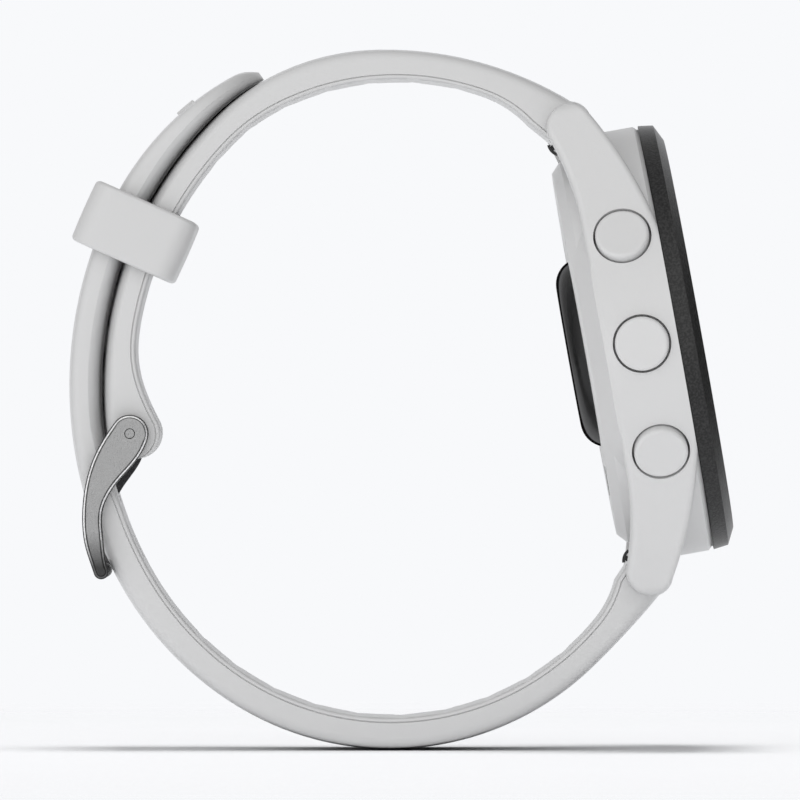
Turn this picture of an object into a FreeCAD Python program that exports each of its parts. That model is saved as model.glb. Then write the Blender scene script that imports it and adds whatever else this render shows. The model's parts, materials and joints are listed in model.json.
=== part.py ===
"""GPS running watch, buckled into a loop: case, electronics, two-piece strap and tang buckle.

Every piece is modelled in the case frame and placed once at the end.
Case frame, in millimetres: +X towards 3 o'clock, +Z towards 12 o'clock, +Y through the back
cover towards the wrist. The origin is the centre of the case, on the button axes.
"""

import FreeCAD, Part
import os
from math import acos, asin, atan2, cos, hypot, pi, radians, sin, sqrt, tan

V = FreeCAD.Vector
X_AXIS = V(1, 0, 0)
Y_AXIS = V(0, 1, 0)

# ---- driving dimensions -------------------------------------------------------------------
CASE_R = 21.5                  # 43 mm case
SEAM_Y = -3.6                  # joint between bezel and case
SEAM_GAP = 0.13                # shadow gap round the bezel's foot
SEAM_DEPTH = 0.35
FACE_Y = -6.0                  # front of the bezel
BACK_Y = 5.57                  # back plane
BACK_R = 18.3                  # edge of the back plane
BACK_CHAMFER = (19.3, 4.65)    # radius and y where the back chamfer meets the cone
PANEL_BACK_Y = 3.75            # back edge of the side panels
FACET_ROOT_X = 6.0
FACET_FADE_Z = 8.0             # where the side panel's bevelled back starts to sink
FACET_END_Z = 16.5
FACET_FRONT_Y = -0.5
FACET_OVERSINK = 0.3           # how far it ends below the case's widest line
FACET_PULL_IN = 0.5            # how far its side edge draws in by the lugs
FACET_SIDE_INSET = 0.1
FACET_BACK_INSET = 0.06
FACET_STATIONS = (-16.5, -14.3, -12.0, -9.7, -7.0, -3.5, 0, 3.5, 7.0, 9.7, 12.0, 14.3, 16.5)
CAVITY_R = 18.9                # inside wall of the case
CAVITY_TAPER_Y = 2.2           # where the cavity starts to narrow
CAVITY_BACK_Y = 3.2            # where it reaches the back opening
BACK_OPENING_R = 16.2
COVER_R = 17.4                 # back cover
COVER_SEAT_R = 17.45
COVER_FRONT_Y = 4.17

LUG_INNER_X = 10.1             # lug gap for a 20 mm strap
LUG_TIP_X = 13.6
LUG_TIP_Z = 24.75
LUG_TIP_Y = 3.1
LUG_TIP_R = 2.35
LUG_TIP_FRONT = 150            # angles where the tip's round meets the front and back edges
LUG_TIP_BACK = -20
LUG_CORNER_R = 1.6             # corner of the lug's tip, seen from the front
LUG_ROUNDING = 0.6
LUG_ROOT_Z = 11.5              # where the lug's front edge leaves the seam
BAR_Y = 3.1                    # spring bar axis
BAR_Z = 22.45
BAR_R = 0.8
BAR_HALF = 9.6                 # half length of its tube
TIP_R = 0.45
LEVER_ANGLE = 40               # the release lever leans towards the case
LEVER_THUMB = [(5.46, 21.12), (5.33, 20.62), (5.12, 20.3), (4.76, 20.03)]
LEVER_THUMB_HALF = 0.14

BEZEL_SIDE_Y = -5.2
BEZEL_FACE_R = 19.7
GLASS_R = 17.5
GLASS_BACK_Y = -4.8
LEDGE_R = 16.5

BUTTON_CAP_R = 2.675
BUTTON_RECESS_R = 2.9
BUTTON_PROUD = 0.8
BUTTON_TRAVEL = 0.6
RECESS_FLOOR_R = 19.95         # distance of the recess floor from the case axis
STEM_R = 0.95
STEM_BORE_R = 1.0
SEAL_BORE_R = 1.45
SEAL_BORE_END_R = 19.25        # distance of the seal bore's inner end from the case axis
STEM_END_R = 17.6
BUTTONS = {"light_button": 150, "up_button": 180, "down_button": 210,
           "start_button": 30, "back_button": -30}

STRAP_HALF = 10.0              # half of the 20 mm width
LOOP_Y = 16.27                 # centre of the clasp side of the loop
LOOP_Z = -1.26
OUTER_OUT_R = 41.15            # tail layer, outer face
OUTER_IN_R = 37.9
INNER_OUT_R = 37.7             # buckle layer, outer face
INNER_IN_R = 34.7
TAIL_START = -18.0             # angles about the loop centre
TAIL_TAPER = 34.0
TAIL_END = 64.3
TAIL_MID_R = 40.75             # outer face of the tapering tail at its middle
TAIL_TIP_R = 39.1
TIP_ROUNDING = 14.5            # angle over which the tip is rounded in plan
INNER_END = 54.0
# (radius, sweep in degrees) of each strap face on its way from the clasp side to the lugs
LOWER_OUTER_ARCS = [(33.1, 30.0), (29.2, 76.0), (90.0, 6.2)]
LOWER_INNER_ARCS = [(30.5, 22.0), (26.5, 90.0), (10.1, 26.0)]
UPPER_OUTER_ARCS = [(24.0, 44.4), (35.8, 33.0)]
UPPER_INNER_ARCS = [(18.1, 19.8), (26.2, 45.3), (11.2, 28.0)]
# strap's end round its spring bar: towards the front, the case, the back, and its shoulder
STRAP_END_POINTS = [(1.25, 21.6), (3.2, 20.45), (5.1, 21.3), (0.8, 23.5)]
LEVER_SLOT = (3.4, 6.0, 1.6)   # slot in the strap's end for the release lever
LEVER_SLOT_X = -7.7
HOLE_STEP = 6.4                # degrees from one adjusting hole to the next
HOLE_IN_USE = -8.5
HOLES_BELOW, HOLES_ABOVE = 1, 7
HOLE_HALF_LENGTH = 1.3
HOLE_HALF_WIDTH = 1.1
HOLE_CORNER = 0.8
HOLE_ORBIT = 39.5              # middle of the tail's thickness
PIP_TOP_R = 40.7               # small raised bar on the tail's outer face
PIP_HALF = 3.0
PIP_START = 52.0
PIP_END = 54.9

PIN_R = 0.45
PIN_CLEARANCE = 0.08
PIN_ORBIT = 35.3               # buckle pin's distance from the loop centre
PIN_ANGLE = 2.4
BULB_R = 2.6
BULB_CENTRE = (51.1, 0.2)
FLARE_START = 24.0             # where the inner face starts to swell into the buckle end
FLARE_MIDDLE = (49.64, 7.0)
FLARE_FOOT = 162               # where it runs into the bulb, in degrees about the bulb
PRONG_SLOT_HALF = 1.35
BUCKLE_HEAD_R = 1.87
ARM_IN_X = 10.2
ARM_OUT_X = 11.7
ARM_ROUNDING = 0.4
ARM_OUTER = [(55.3, -1.2), (57.42, -6.0), (57.9, -9.6)]     # edge away from the wrist
ARM_INNER = [(56.0, -9.8), (55.5, -6.75), (53.55, -4.3)]
FRONT_BAR_R = 0.75
FRONT_BAR_ORBIT = 42.1
FRONT_BAR_ANGLE = -15.9
PRONG_HALF = 0.45
PRONG_HALF_WIDTH = 1.0
PRONG_POINTS = [(51.35, -2.2), (53.5, -4.45), (55.1, -6.3), (56.55, -8.2), (57.2, -10.3)]
PRONG_REST_ORBIT = 42.4
PRONG_LOOP_WALL = 0.75
PRONG_ROOM_HALF = 1.05         # half height of the hole in use
PRONG_ROOM_R = 2.3             # room round the pin for the prong's loop

KEEPER_ANGLE = 34.1
KEEPER_ORBIT = 37.75
KEEPER_HALF_RADIAL = 5.55
KEEPER_HALF_LENGTH = 3.25
KEEPER_WALL = 1.9
KEEPER_SIDE_WALL = 1.5
KEEPER_SIDE_GAP = 0.35
KEEPER_CORNER = 1.1

SENSOR_R = 9.35
SENSOR_FLAT_R = 6.8
SENSOR_Y = 7.16
SPIGOT_R = 8.5

EMITTER_ORBIT = 4.6

SCREW_ORBIT = 15.2
SCREW_ANGLES = (45, 135, 225, 315)
SCREW_HEAD_R = 1.35
SCREW_SHANK_R = 0.7
SCREW_SEAT_Y = BACK_Y - 0.75   # underside of the cover screws' heads
SCREW_END_Y = 2.2
BOSS_R = 1.7
BOSS_BORE_R = 0.72
BOSS_FRONT_Y = 1.9
BOSS_WEB_REACH = 4.0
BOSS_WEB_WIDTH = 2.4
BOARD_R = 15.2
PORT_X = 8.3                   # charging socket
PORT_HEIGHT = 2.9
PORT_CORNER = 0.95
PORT_Z = -12.9
CASE_TILT = 10.2               # the face leans back as the loop stands

pieces = {}


# ---- helpers ------------------------------------------------------------------------------
def polar(radius, degrees, centre=(LOOP_Y, LOOP_Z)):
    """Point (y, z) at an angle about a centre, measured from +Y towards +Z."""
    angle = radians(degrees)
    return centre[0] + radius * cos(angle), centre[1] + radius * sin(angle)


def side(point, x=0.0):
    """A (y, z) point as a vector in the plane at x."""
    return V(x, point[0], point[1])


def line(start, end):
    return Part.LineSegment(side(start), side(end)).toShape()


def arc(start, middle, end):
    return Part.Arc(side(start), side(middle), side(end)).toShape()


def slab(edges, x_from, x_to):
    """Closed side outline of edges in the YZ plane, extruded along X."""
    face = Part.Face(Part.Wire(edges))
    face.translate(V(x_from, 0, 0))
    return face.extrude(V(x_to - x_from, 0, 0))


def turned(profile):
    """Closed profile of (radius, y) points turned about the case axis."""
    points = [V(radius, y, 0) for radius, y in profile]
    face = Part.Face(Part.makePolygon(points + points[:1]))
    return face.revolve(V(0, 0, 0), Y_AXIS, 360)


def disc(radius, y_from, y_to, x=0.0, z=0.0):
    return Part.makeCylinder(radius, y_to - y_from, V(x, y_from, z), Y_AXIS)


def ring(r_in, r_out, y_from, y_to):
    """Flat ring about the case axis."""
    return turned([(r_in, y_from), (r_out, y_from), (r_out, y_to), (r_in, y_to)])


def block(x_size, z_size, y_from, y_to, x=0.0, z=0.0, corner=0.0):
    """Box centred on (x, z), with rounded upright corners if a corner radius is given."""
    box = Part.makeBox(x_size, y_to - y_from, z_size, V(x - x_size / 2, y_from, z - z_size / 2))
    if corner:
        upright = [edge for edge in box.Edges
                   if abs(edge.tangentAt(edge.FirstParameter).y) > 0.9]
        box = box.makeFillet(corner, upright)
    return box


def rod(radius, x_from, x_to, point):
    """Cylinder along X through a (y, z) point."""
    return Part.makeCylinder(radius, x_to - x_from, side(point, x_from), X_AXIS)


def around(shape, degrees):
    """Copy turned about the case axis: a shape on +X goes to the given clock angle."""
    copy = shape.copy()
    copy.rotate(V(0, 0, 0), Y_AXIS, -degrees)
    return copy


def spoke(radius, r_from, r_to):
    """Cylinder along +X, between two distances from the case axis."""
    return Part.makeCylinder(radius, r_to - r_from, V(r_from, 0, 0), X_AXIS)


def ring_sector(r_in, r_out, from_deg, to_deg, x_from, x_to, centre=(LOOP_Y, LOOP_Z)):
    """Part of a ring about an X axis through the centre, between two angles."""
    middle = (from_deg + to_deg) / 2
    edges = [arc(polar(r_out, from_deg, centre), polar(r_out, middle, centre),
                 polar(r_out, to_deg, centre)),
             line(polar(r_out, to_deg, centre), polar(r_in, to_deg, centre)),
             arc(polar(r_in, to_deg, centre), polar(r_in, middle, centre),
                 polar(r_in, from_deg, centre)),
             line(polar(r_in, from_deg, centre), polar(r_out, from_deg, centre))]
    return slab(edges, x_from, x_to)


def tangent_arcs(radius, angle, turns, sign):
    """Arc edges that leave the loop circle at an angle and turn on, one radius after another.

    turns holds (radius, sweep in degrees); sign is +1 towards +Z, -1 towards -Z.
    Returns the edges and the last point.
    """
    edges = []
    centre = (LOOP_Y, LOOP_Z)
    point = polar(radius, angle)
    for turn_radius, sweep in turns:
        centre = polar(-turn_radius, angle, point)
        middle = polar(turn_radius, angle + sign * sweep / 2, centre)
        angle += sign * sweep
        end = polar(turn_radius, angle, centre)
        edges.append(arc(point, middle, end))
        point = end
    return edges, point


def ribbon(points, half, x_half):
    """Strip of even thickness along a smooth line through (y, z) points, across X."""
    path = Part.BSplineCurve()
    path.interpolate([side(point) for point in points])
    first, last = path.FirstParameter, path.LastParameter
    samples = 4 * len(points)
    offsets = {1: [], -1: []}
    for index in range(samples + 1):
        at = first + (last - first) * index / samples
        along = V(*path.tangent(at)[0])
        normal = X_AXIS.cross(along)
        for hand, row in offsets.items():
            row.append(path.value(at) + normal * (half * hand))
    edges = []
    for row in (offsets[1], offsets[-1][::-1]):
        curve = Part.BSplineCurve()
        curve.interpolate(row)
        edges.append(curve.toShape())
    edges.insert(1, Part.LineSegment(offsets[1][-1], offsets[-1][-1]).toShape())
    edges.append(Part.LineSegment(offsets[-1][0], offsets[1][0]).toShape())
    return slab(edges, -x_half, x_half)


PIN = polar(PIN_ORBIT, PIN_ANGLE)


# ---- case ---------------------------------------------------------------------------------
def smooth_arc(start, toward, end):
    """Arc from start to end that leaves start in the direction toward (all in the YZ plane)."""
    chord = side(end) - side(start)
    leaving = V(0, toward[0], toward[1]).normalize()
    half_turn = chord.cross(leaving).x / chord.Length
    sagitta = chord.Length / 2 * tan(asin(half_turn) / 2)
    outward = V(0, chord.z, -chord.y).normalize()
    middle = side(start) + chord * 0.5 - outward * sagitta
    return Part.Arc(side(start), middle, side(end)).toShape()


def lug_side_outline():
    """Side outline of the upper lug, from mid height round the tip."""
    tip = (LUG_TIP_Y, LUG_TIP_Z - LUG_TIP_R)
    front_tip = polar(LUG_TIP_R, LUG_TIP_FRONT, tip)
    top_tip = polar(LUG_TIP_R, 60, tip)
    back_tip = polar(LUG_TIP_R, LUG_TIP_BACK, tip)
    front_way = polar(1, LUG_TIP_FRONT + 90, (0, 0))
    back_way = polar(1, LUG_TIP_BACK - 90, (0, 0))
    front_root = (SEAM_Y, LUG_ROOT_Z)
    back_root = (PANEL_BACK_Y, LUG_ROOT_Z + 0.5)
    return [line((SEAM_Y, 0), front_root), smooth_arc(front_tip, front_way, front_root),
            arc(front_tip, top_tip, back_tip), smooth_arc(back_tip, back_way, back_root),
            line(back_root, (PANEL_BACK_Y, 0)), line((PANEL_BACK_Y, 0), (SEAM_Y, 0))]


def lug_front_limit():
    """Prism along Y that bounds the upper right lug and panel, seen from the front.

    The outline follows the case circle, leaves it on the line that also touches the
    lug's rounded corner, and goes round that corner to the flat tip.
    """
    top_z = LUG_TIP_Z + 0.1
    corner_x = LUG_TIP_X - LUG_CORNER_R
    corner_z = top_z - LUG_CORNER_R
    reach = hypot(corner_x, corner_z)
    touch = atan2(corner_z, corner_x) - acos((CASE_R - LUG_CORNER_R) / reach)
    mid_corner = (touch + pi / 2) / 2

    def on_case(angle):
        return V(CASE_R * cos(angle), 0, CASE_R * sin(angle))

    def on_corner(angle):
        return V(corner_x + LUG_CORNER_R * cos(angle), 0, corner_z + LUG_CORNER_R * sin(angle))

    foot = V(LUG_INNER_X, 0, 0)
    inner_top = V(LUG_INNER_X, 0, top_z)
    edges = [Part.LineSegment(on_case(0), foot).toShape(),
             Part.LineSegment(foot, inner_top).toShape(),
             Part.LineSegment(inner_top, on_corner(pi / 2)).toShape(),
             Part.Arc(on_corner(pi / 2), on_corner(mid_corner), on_corner(touch)).toShape(),
             Part.LineSegment(on_corner(touch), on_case(touch)).toShape(),
             Part.Arc(on_case(touch), on_case(touch / 2), on_case(0)).toShape()]
    prism = Part.Face(Part.Wire(edges)).extrude(V(0, 20, 0))
    prism.translate(V(0, -10, 0))
    return prism


def upper_right_lug():
    """Upper half of the right side panel with its lug, outer edges of the lug rounded."""
    lug = slab(lug_side_outline(), LUG_INNER_X, CASE_R + 0.5).common(lug_front_limit())
    outer = []
    for edge in lug.Edges:
        middle = edge.valueAt((edge.FirstParameter + edge.LastParameter) / 2)
        on_lug = middle.x > LUG_INNER_X + 0.4 and middle.z > LUG_ROOT_Z
        if on_lug and not isinstance(edge.Curve, Part.Line):
            outer.append(edge)
    return lug.makeFillet(LUG_ROUNDING, outer)


def right_side_frame():
    """Side panel and two lugs on the 3 o'clock side, as one solid."""
    lug = upper_right_lug()
    frame = lug.fuse(lug.mirror(V(0, 0, 0), V(0, 0, 1))).removeSplitter()
    return frame.fuse(side_facet())


def side_facet():
    """Bevelled back of the side panel, which sinks into the case's cone towards both lugs."""
    back_y = BACK_Y - FACET_BACK_INSET
    sections = []
    for z in FACET_STATIONS:
        reach = min(max((abs(z) - FACET_FADE_Z) / (FACET_END_Z - FACET_FADE_Z), 0.0), 1.0)
        sink = reach * reach * (3 - 2 * reach)
        bevel_y = PANEL_BACK_Y * (1 - sink) - FACET_OVERSINK * reach
        side_x = sqrt(CASE_R ** 2 - z * z) - FACET_PULL_IN * reach
        back_x = sqrt(BACK_R ** 2 - z * z) - FACET_SIDE_INSET
        corners = [V(FACET_ROOT_X, FACET_FRONT_Y, z),
                   V(side_x - FACET_SIDE_INSET, FACET_FRONT_Y, z), V(side_x, bevel_y, z),
                   V(back_x, back_y, z), V(FACET_ROOT_X, back_y, z)]
        sections.append(Part.makePolygon(corners + corners[:1]))
    return Part.makeLoft(sections, True, False)


def button_bore():
    """Recess, seal bore and stem bore of one button, along +X."""
    recess = spoke(BUTTON_RECESS_R, RECESS_FLOOR_R, CASE_R + 2)
    seal = spoke(SEAL_BORE_R, SEAL_BORE_END_R, CASE_R)
    stem = spoke(STEM_BORE_R, CAVITY_R - 1, CASE_R)
    return recess.fuse([seal, stem])


def screw_bosses():
    """Bosses for the cover screws, each with a web out to the case wall."""
    height = COVER_FRONT_Y - BOSS_FRONT_Y
    bosses = []
    for angle in SCREW_ANGLES:
        x, z = polar(SCREW_ORBIT, angle, (0, 0))
        bosses.append(disc(BOSS_R, BOSS_FRONT_Y, COVER_FRONT_Y, x, z))
        web = Part.makeBox(BOSS_WEB_REACH, height, BOSS_WEB_WIDTH,
                           V(SCREW_ORBIT, BOSS_FRONT_Y, -BOSS_WEB_WIDTH / 2))
        bosses.append(around(web, angle))
    return bosses


def make_mid_case():
    core_r = 10.0
    foot_chamfer = 0.4
    body = turned([(core_r, SEAM_Y), (CASE_R - foot_chamfer, SEAM_Y),
                   (CASE_R, SEAM_Y + foot_chamfer), (CASE_R, 0.0),
                   BACK_CHAMFER, (BACK_R, BACK_Y), (core_r, BACK_Y)])
    right = right_side_frame()
    left = right.mirror(V(0, 0, 0), X_AXIS)
    body = body.fuse([right, left]).removeSplitter()
    cavity = turned([(0, SEAM_Y - 1), (CAVITY_R, SEAM_Y - 1), (CAVITY_R, CAVITY_TAPER_Y),
                     (BACK_OPENING_R, CAVITY_BACK_Y), (BACK_OPENING_R, COVER_FRONT_Y),
                     (COVER_SEAT_R, COVER_FRONT_Y), (COVER_SEAT_R, BACK_Y + 1), (0, BACK_Y + 1)])
    cuts = []
    for angle in SCREW_ANGLES:
        x, z = polar(SCREW_ORBIT, angle, (0, 0))
        cuts.append(disc(BOSS_BORE_R, 1.0, BACK_Y, x, z))
    cuts += [around(button_bore(), angle) for angle in BUTTONS.values()]
    for hand in (1, -1):
        for x in (LUG_INNER_X - 0.5, -LUG_INNER_X - 1.0):
            cuts.append(rod(TIP_R + 0.05, x, x + 1.5, (BAR_Y, hand * BAR_Z)))
    body = body.cut(cavity).fuse(screw_bosses()).cut(cuts)
    pieces["mid_case"] = body.removeSplitter()


def make_bezel_and_glass():
    glass_gap = 0.1
    gasket_back_y = GLASS_BACK_Y + 0.3
    spigot_out_r = CAVITY_R - 0.05
    spigot_in_r = CAVITY_R - 0.75
    spigot_y = SEAM_Y + 0.8
    pieces["bezel"] = turned([
        (GLASS_R + glass_gap, FACE_Y), (BEZEL_FACE_R, FACE_Y), (CASE_R - 0.2, BEZEL_SIDE_Y),
        (CASE_R, SEAM_Y - SEAM_GAP), (CASE_R - SEAM_DEPTH, SEAM_Y - SEAM_GAP),
        (CASE_R - SEAM_DEPTH, SEAM_Y), (spigot_out_r, SEAM_Y), (spigot_out_r, spigot_y),
        (spigot_in_r, spigot_y), (spigot_in_r, SEAM_Y), (LEDGE_R, SEAM_Y),
        (LEDGE_R, gasket_back_y), (GLASS_R + glass_gap, gasket_back_y)])
    glass_front_y = FACE_Y + 0.05
    glass_chamfer = 0.3
    pieces["cover_glass"] = turned([
        (0, glass_front_y), (GLASS_R - glass_chamfer, glass_front_y),
        (GLASS_R, glass_front_y + glass_chamfer), (GLASS_R, GLASS_BACK_Y), (0, GLASS_BACK_Y)])
    pieces["glass_gasket"] = ring(LEDGE_R + glass_gap, GLASS_R, GLASS_BACK_Y, gasket_back_y)


def make_back_cover():
    rim_chamfer = 0.2
    groove_in_r = SPIGOT_R + 2.0
    groove_out_r = SPIGOT_R + 2.6
    groove_end_y = COVER_FRONT_Y + 0.4
    gasket_front_y = COVER_FRONT_Y - 0.3
    cover = turned([(0, COVER_FRONT_Y), (COVER_R, COVER_FRONT_Y), (COVER_R, BACK_Y - rim_chamfer),
                    (COVER_R - rim_chamfer, BACK_Y), (0, BACK_Y)])
    cuts = [disc(SPIGOT_R + 0.05, COVER_FRONT_Y - 1, BACK_Y + 1),
            ring(groove_in_r, groove_out_r, COVER_FRONT_Y, groove_end_y),
            block(PORT_X + 0.1, PORT_HEIGHT + 0.1, COVER_FRONT_Y - 1, BACK_Y + 1, z=PORT_Z,
                  corner=PORT_CORNER + 0.05)]
    screws = []
    for angle in SCREW_ANGLES:
        x, z = polar(SCREW_ORBIT, angle, (0, 0))
        cuts.append(disc(SCREW_SHANK_R + 0.05, COVER_FRONT_Y - 1, BACK_Y + 1, x, z))
        cuts.append(disc(SCREW_HEAD_R + 0.05, SCREW_SEAT_Y, BACK_Y + 1, x, z))
        screws.append(make_screw(x, z))
    pieces["back_cover"] = cover.cut(cuts)
    pieces["back_cover_screws"] = Part.makeCompound(screws)
    pieces["back_cover_gasket"] = ring(groove_in_r, groove_out_r, gasket_front_y, groove_end_y)


def make_screw(x, z):
    """Small hex-socket screw in the back cover, head outwards."""
    socket_r = 0.6
    socket_y = BACK_Y - 0.5
    head = disc(SCREW_HEAD_R, SCREW_SEAT_Y, BACK_Y - 0.1, x, z)
    shank = disc(SCREW_SHANK_R, SCREW_END_Y, SCREW_SEAT_Y, x, z)
    corners = []
    for step in range(7):
        turn = radians(60 * step)
        corners.append(V(x + socket_r * cos(turn), socket_y, z + socket_r * sin(turn)))
    socket = Part.Face(Part.makePolygon(corners)).extrude(V(0, 1, 0))
    return head.fuse(shank).cut(socket).removeSplitter()


def make_sensor():
    """Optical sensor: clear domed window over a small board with its emitters."""
    window_y = BACK_Y - 0.6
    shoulder = V(8.55, SENSOR_Y - 0.55, 0)
    corners = [V(SENSOR_R, BACK_Y, 0), V(SPIGOT_R, BACK_Y, 0), V(SPIGOT_R, window_y, 0),
               V(0, window_y, 0), V(0, SENSOR_Y, 0), V(SENSOR_FLAT_R, SENSOR_Y, 0)]
    edges = [Part.LineSegment(a, b).toShape() for a, b in zip(corners, corners[1:])]
    edges.append(Part.Arc(corners[-1], shoulder, corners[0]).toShape())
    pieces["sensor_window"] = Part.Face(Part.Wire(edges)).revolve(V(0, 0, 0), Y_AXIS, 360)
    board_front_y = 3.5
    board_back_y = 4.25
    pieces["sensor_board"] = disc(8.2, board_front_y, board_back_y)
    emitters = [block(1.6, 1.6, board_back_y, board_back_y + 0.6)]
    for step in range(6):
        x, z = polar(EMITTER_ORBIT, 60 * step + 30, (0, 0))
        emitters.append(block(2.0, 1.6, board_back_y, board_back_y + 0.55, x, z))
    pieces["sensor_leds"] = Part.makeCompound(emitters)


def make_charge_port():
    """Charging socket in the back cover with four spring contacts."""
    contact_r = 0.35
    contact_pitch = 1.5
    contact_front_y = 3.1
    port = block(PORT_X, PORT_HEIGHT, 3.3, BACK_Y - 0.05, z=PORT_Z, corner=PORT_CORNER)
    port = port.cut(block(6.6, 1.7, BACK_Y - 1.3, BACK_Y + 1, z=PORT_Z, corner=0.6))
    contacts = []
    for index in range(4):
        x = (index - 1.5) * contact_pitch
        port = port.cut(disc(contact_r + 0.01, contact_front_y - 0.1, BACK_Y, x, PORT_Z))
        contacts.append(disc(contact_r, contact_front_y, BACK_Y - 0.7, x, PORT_Z))
    pieces["charge_port"] = port
    pieces["charge_contacts"] = Part.makeCompound(contacts)


# ---- inside -------------------------------------------------------------------------------
def make_display():
    """Display behind the glass, in a tray with a gap for its flex at 6 o'clock."""
    tray_front_y = -3.5
    tray_back_y = -2.3
    floor_y = -3.0
    pieces["display_panel"] = disc(16.3, GLASS_BACK_Y + 0.02, -3.7)
    tray = disc(17.9, tray_front_y, tray_back_y)
    room = disc(17.2, floor_y, tray_back_y + 0.3)
    flex_gap = block(10, 4, tray_front_y - 0.5, tray_back_y + 0.3, z=-14)
    pieces["display_frame"] = tray.cut([room, flex_gap])


def make_board():
    """Round main board with two shield cans and its two screws."""
    front_y = 0.95
    back_y = 1.75
    shield_y = 2.9
    screw_z = 13.5
    head_r, shank_r = 0.95, 0.5
    cuts = [disc(shank_r + 0.05, 0, 3, 0, hand * screw_z) for hand in (1, -1)]
    for angle in SCREW_ANGLES:
        x, z = polar(SCREW_ORBIT, angle, (0, 0))
        cuts.append(disc(BOSS_R + 0.3, 0, 3, x, z))
    pieces["main_board"] = disc(BOARD_R, front_y, back_y).cut(cuts)
    shields = [block(11, 8, back_y, shield_y, x=-1.0, z=5.2, corner=0.5),
               block(9, 6, back_y, shield_y, x=2.5, z=-4.5, corner=0.5)]
    pieces["board_shields"] = Part.makeCompound(shields)
    screws = []
    for hand in (1, -1):
        head = disc(head_r, front_y - 0.5, front_y, 0, hand * screw_z)
        screws.append(head.fuse(disc(shank_r, front_y, 2.6, 0, hand * screw_z)))
    pieces["board_screws"] = Part.makeCompound(screws)


def make_power_and_alerts():
    """Battery, motor, buzzer and antenna in the layer in front of the main board."""
    front_y = -2.2
    battery_y = -1.85
    side_x = 11.8
    side_z = 4.0
    pieces["battery"] = block(18, 18.5, battery_y, 0.75, corner=1.2)
    pieces["battery_pad"] = block(16, 15, -2.3, battery_y, corner=1.0)
    motor = disc(2.5, front_y, 0.4, x=-side_x, z=-side_z)
    pieces["vibration_motor"] = motor.cut(disc(0.4, front_y - 0.8, 0.0, x=-side_x, z=-side_z))
    pieces["piezo_buzzer"] = disc(2.5, front_y, 0.2, x=side_x, z=side_z)
    band = ring(CAVITY_R - 0.9, CAVITY_R - 0.1, front_y, front_y + 1.9)
    pieces["gps_antenna"] = band.common(sector_wedge((22, 24), (-22, 24)))


def sector_wedge(first, second):
    """Prism over the triangle between the case axis and two (x, z) points."""
    corners = [V(0, -3, 0), V(first[0], -3, first[1]), V(second[0], -3, second[1]), V(0, -3, 0)]
    return Part.Face(Part.makePolygon(corners)).extrude(V(0, 4, 0))


def make_switches():
    """Dome switches behind the button stems, on a flex board on each side."""
    switch_r = 16.3
    dome_front_r = 16.75
    bodies = [around(block(0.9, 3.6, -1.5, 1.4, x=switch_r), angle) for angle in BUTTONS.values()]
    domes = [around(spoke(0.9, dome_front_r, dome_front_r + 0.2), angle)
             for angle in BUTTONS.values()]
    pieces["button_switches"] = Part.makeCompound(
        [body.fuse(dome).removeSplitter() for body, dome in zip(bodies, domes)])
    film = ring(15.55, 15.75, -0.9, 0.7)
    for name, hand in (("side_flex_right", 1), ("side_flex_left", -1)):
        pieces[name] = film.common(sector_wedge((22 * hand, 17), (22 * hand, -17)))


# ---- buttons ------------------------------------------------------------------------------
def make_button(name, angle):
    """Domed cap on a stem, with its seal and retaining clip."""
    cap_edge = 0.35
    groove_r = 0.7
    groove_at = CAVITY_R - 0.4
    groove_width = 0.3
    seal_wire_r = 0.235
    clip_r = 1.7
    clip_slot = 1.1
    cap_back = RECESS_FLOOR_R + BUTTON_TRAVEL + 0.1
    cap_front = CASE_R + BUTTON_PROUD - 0.05
    cap = spoke(BUTTON_CAP_R, cap_back, cap_front)
    front_edges = [edge for edge in cap.Edges
                   if edge.BoundBox.XMin > cap_front - 0.05 and edge.BoundBox.YLength > 1]
    cap = cap.makeFillet(cap_edge, front_edges)
    stem = spoke(STEM_R, STEM_END_R, cap_back)
    groove = spoke(STEM_R + 1, groove_at, groove_at + groove_width).cut(spoke(groove_r, 0, CASE_R))
    pieces[name] = around(cap.fuse(stem).cut(groove).removeSplitter(), angle)
    seal = Part.makeTorus(STEM_R + seal_wire_r + 0.01, seal_wire_r,
                          V(SEAL_BORE_END_R + 0.9, 0, 0), X_AXIS)
    pieces[name + "_seal"] = around(seal, angle)
    clip = spoke(clip_r, groove_at + 0.02, groove_at + groove_width - 0.02)
    slot = Part.makeBox(1, clip_slot, 3, V(groove_at - 0.2, -clip_slot / 2, 0))
    pieces[name + "_clip"] = around(clip.cut([spoke(groove_r + 0.02, 0, CASE_R), slot]), angle)


# ---- strap --------------------------------------------------------------------------------
def strap_end(hand, outer_end, inner_end):
    """Edges that close a strap round its spring bar, from the outer face to the inner face."""
    at_front, at_case, at_back, shoulder = [(y, hand * z) for y, z in STRAP_END_POINTS]
    return [arc(outer_end, shoulder, at_front), arc(at_front, at_case, at_back),
            line(at_back, inner_end)]


def bar_cuts(hand):
    """Bore for the spring bar and the slot for its release lever."""
    bore = rod(BAR_R + 0.03, -11, 11, (BAR_Y, hand * BAR_Z))
    slot = Part.makeBox(*LEVER_SLOT, V(LEVER_SLOT_X, BAR_Y, hand * BAR_Z - LEVER_SLOT[2] / 2))
    slot.rotate(V(0, BAR_Y, hand * BAR_Z), X_AXIS, -hand * LEVER_ANGLE)
    return [bore, slot]


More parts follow.
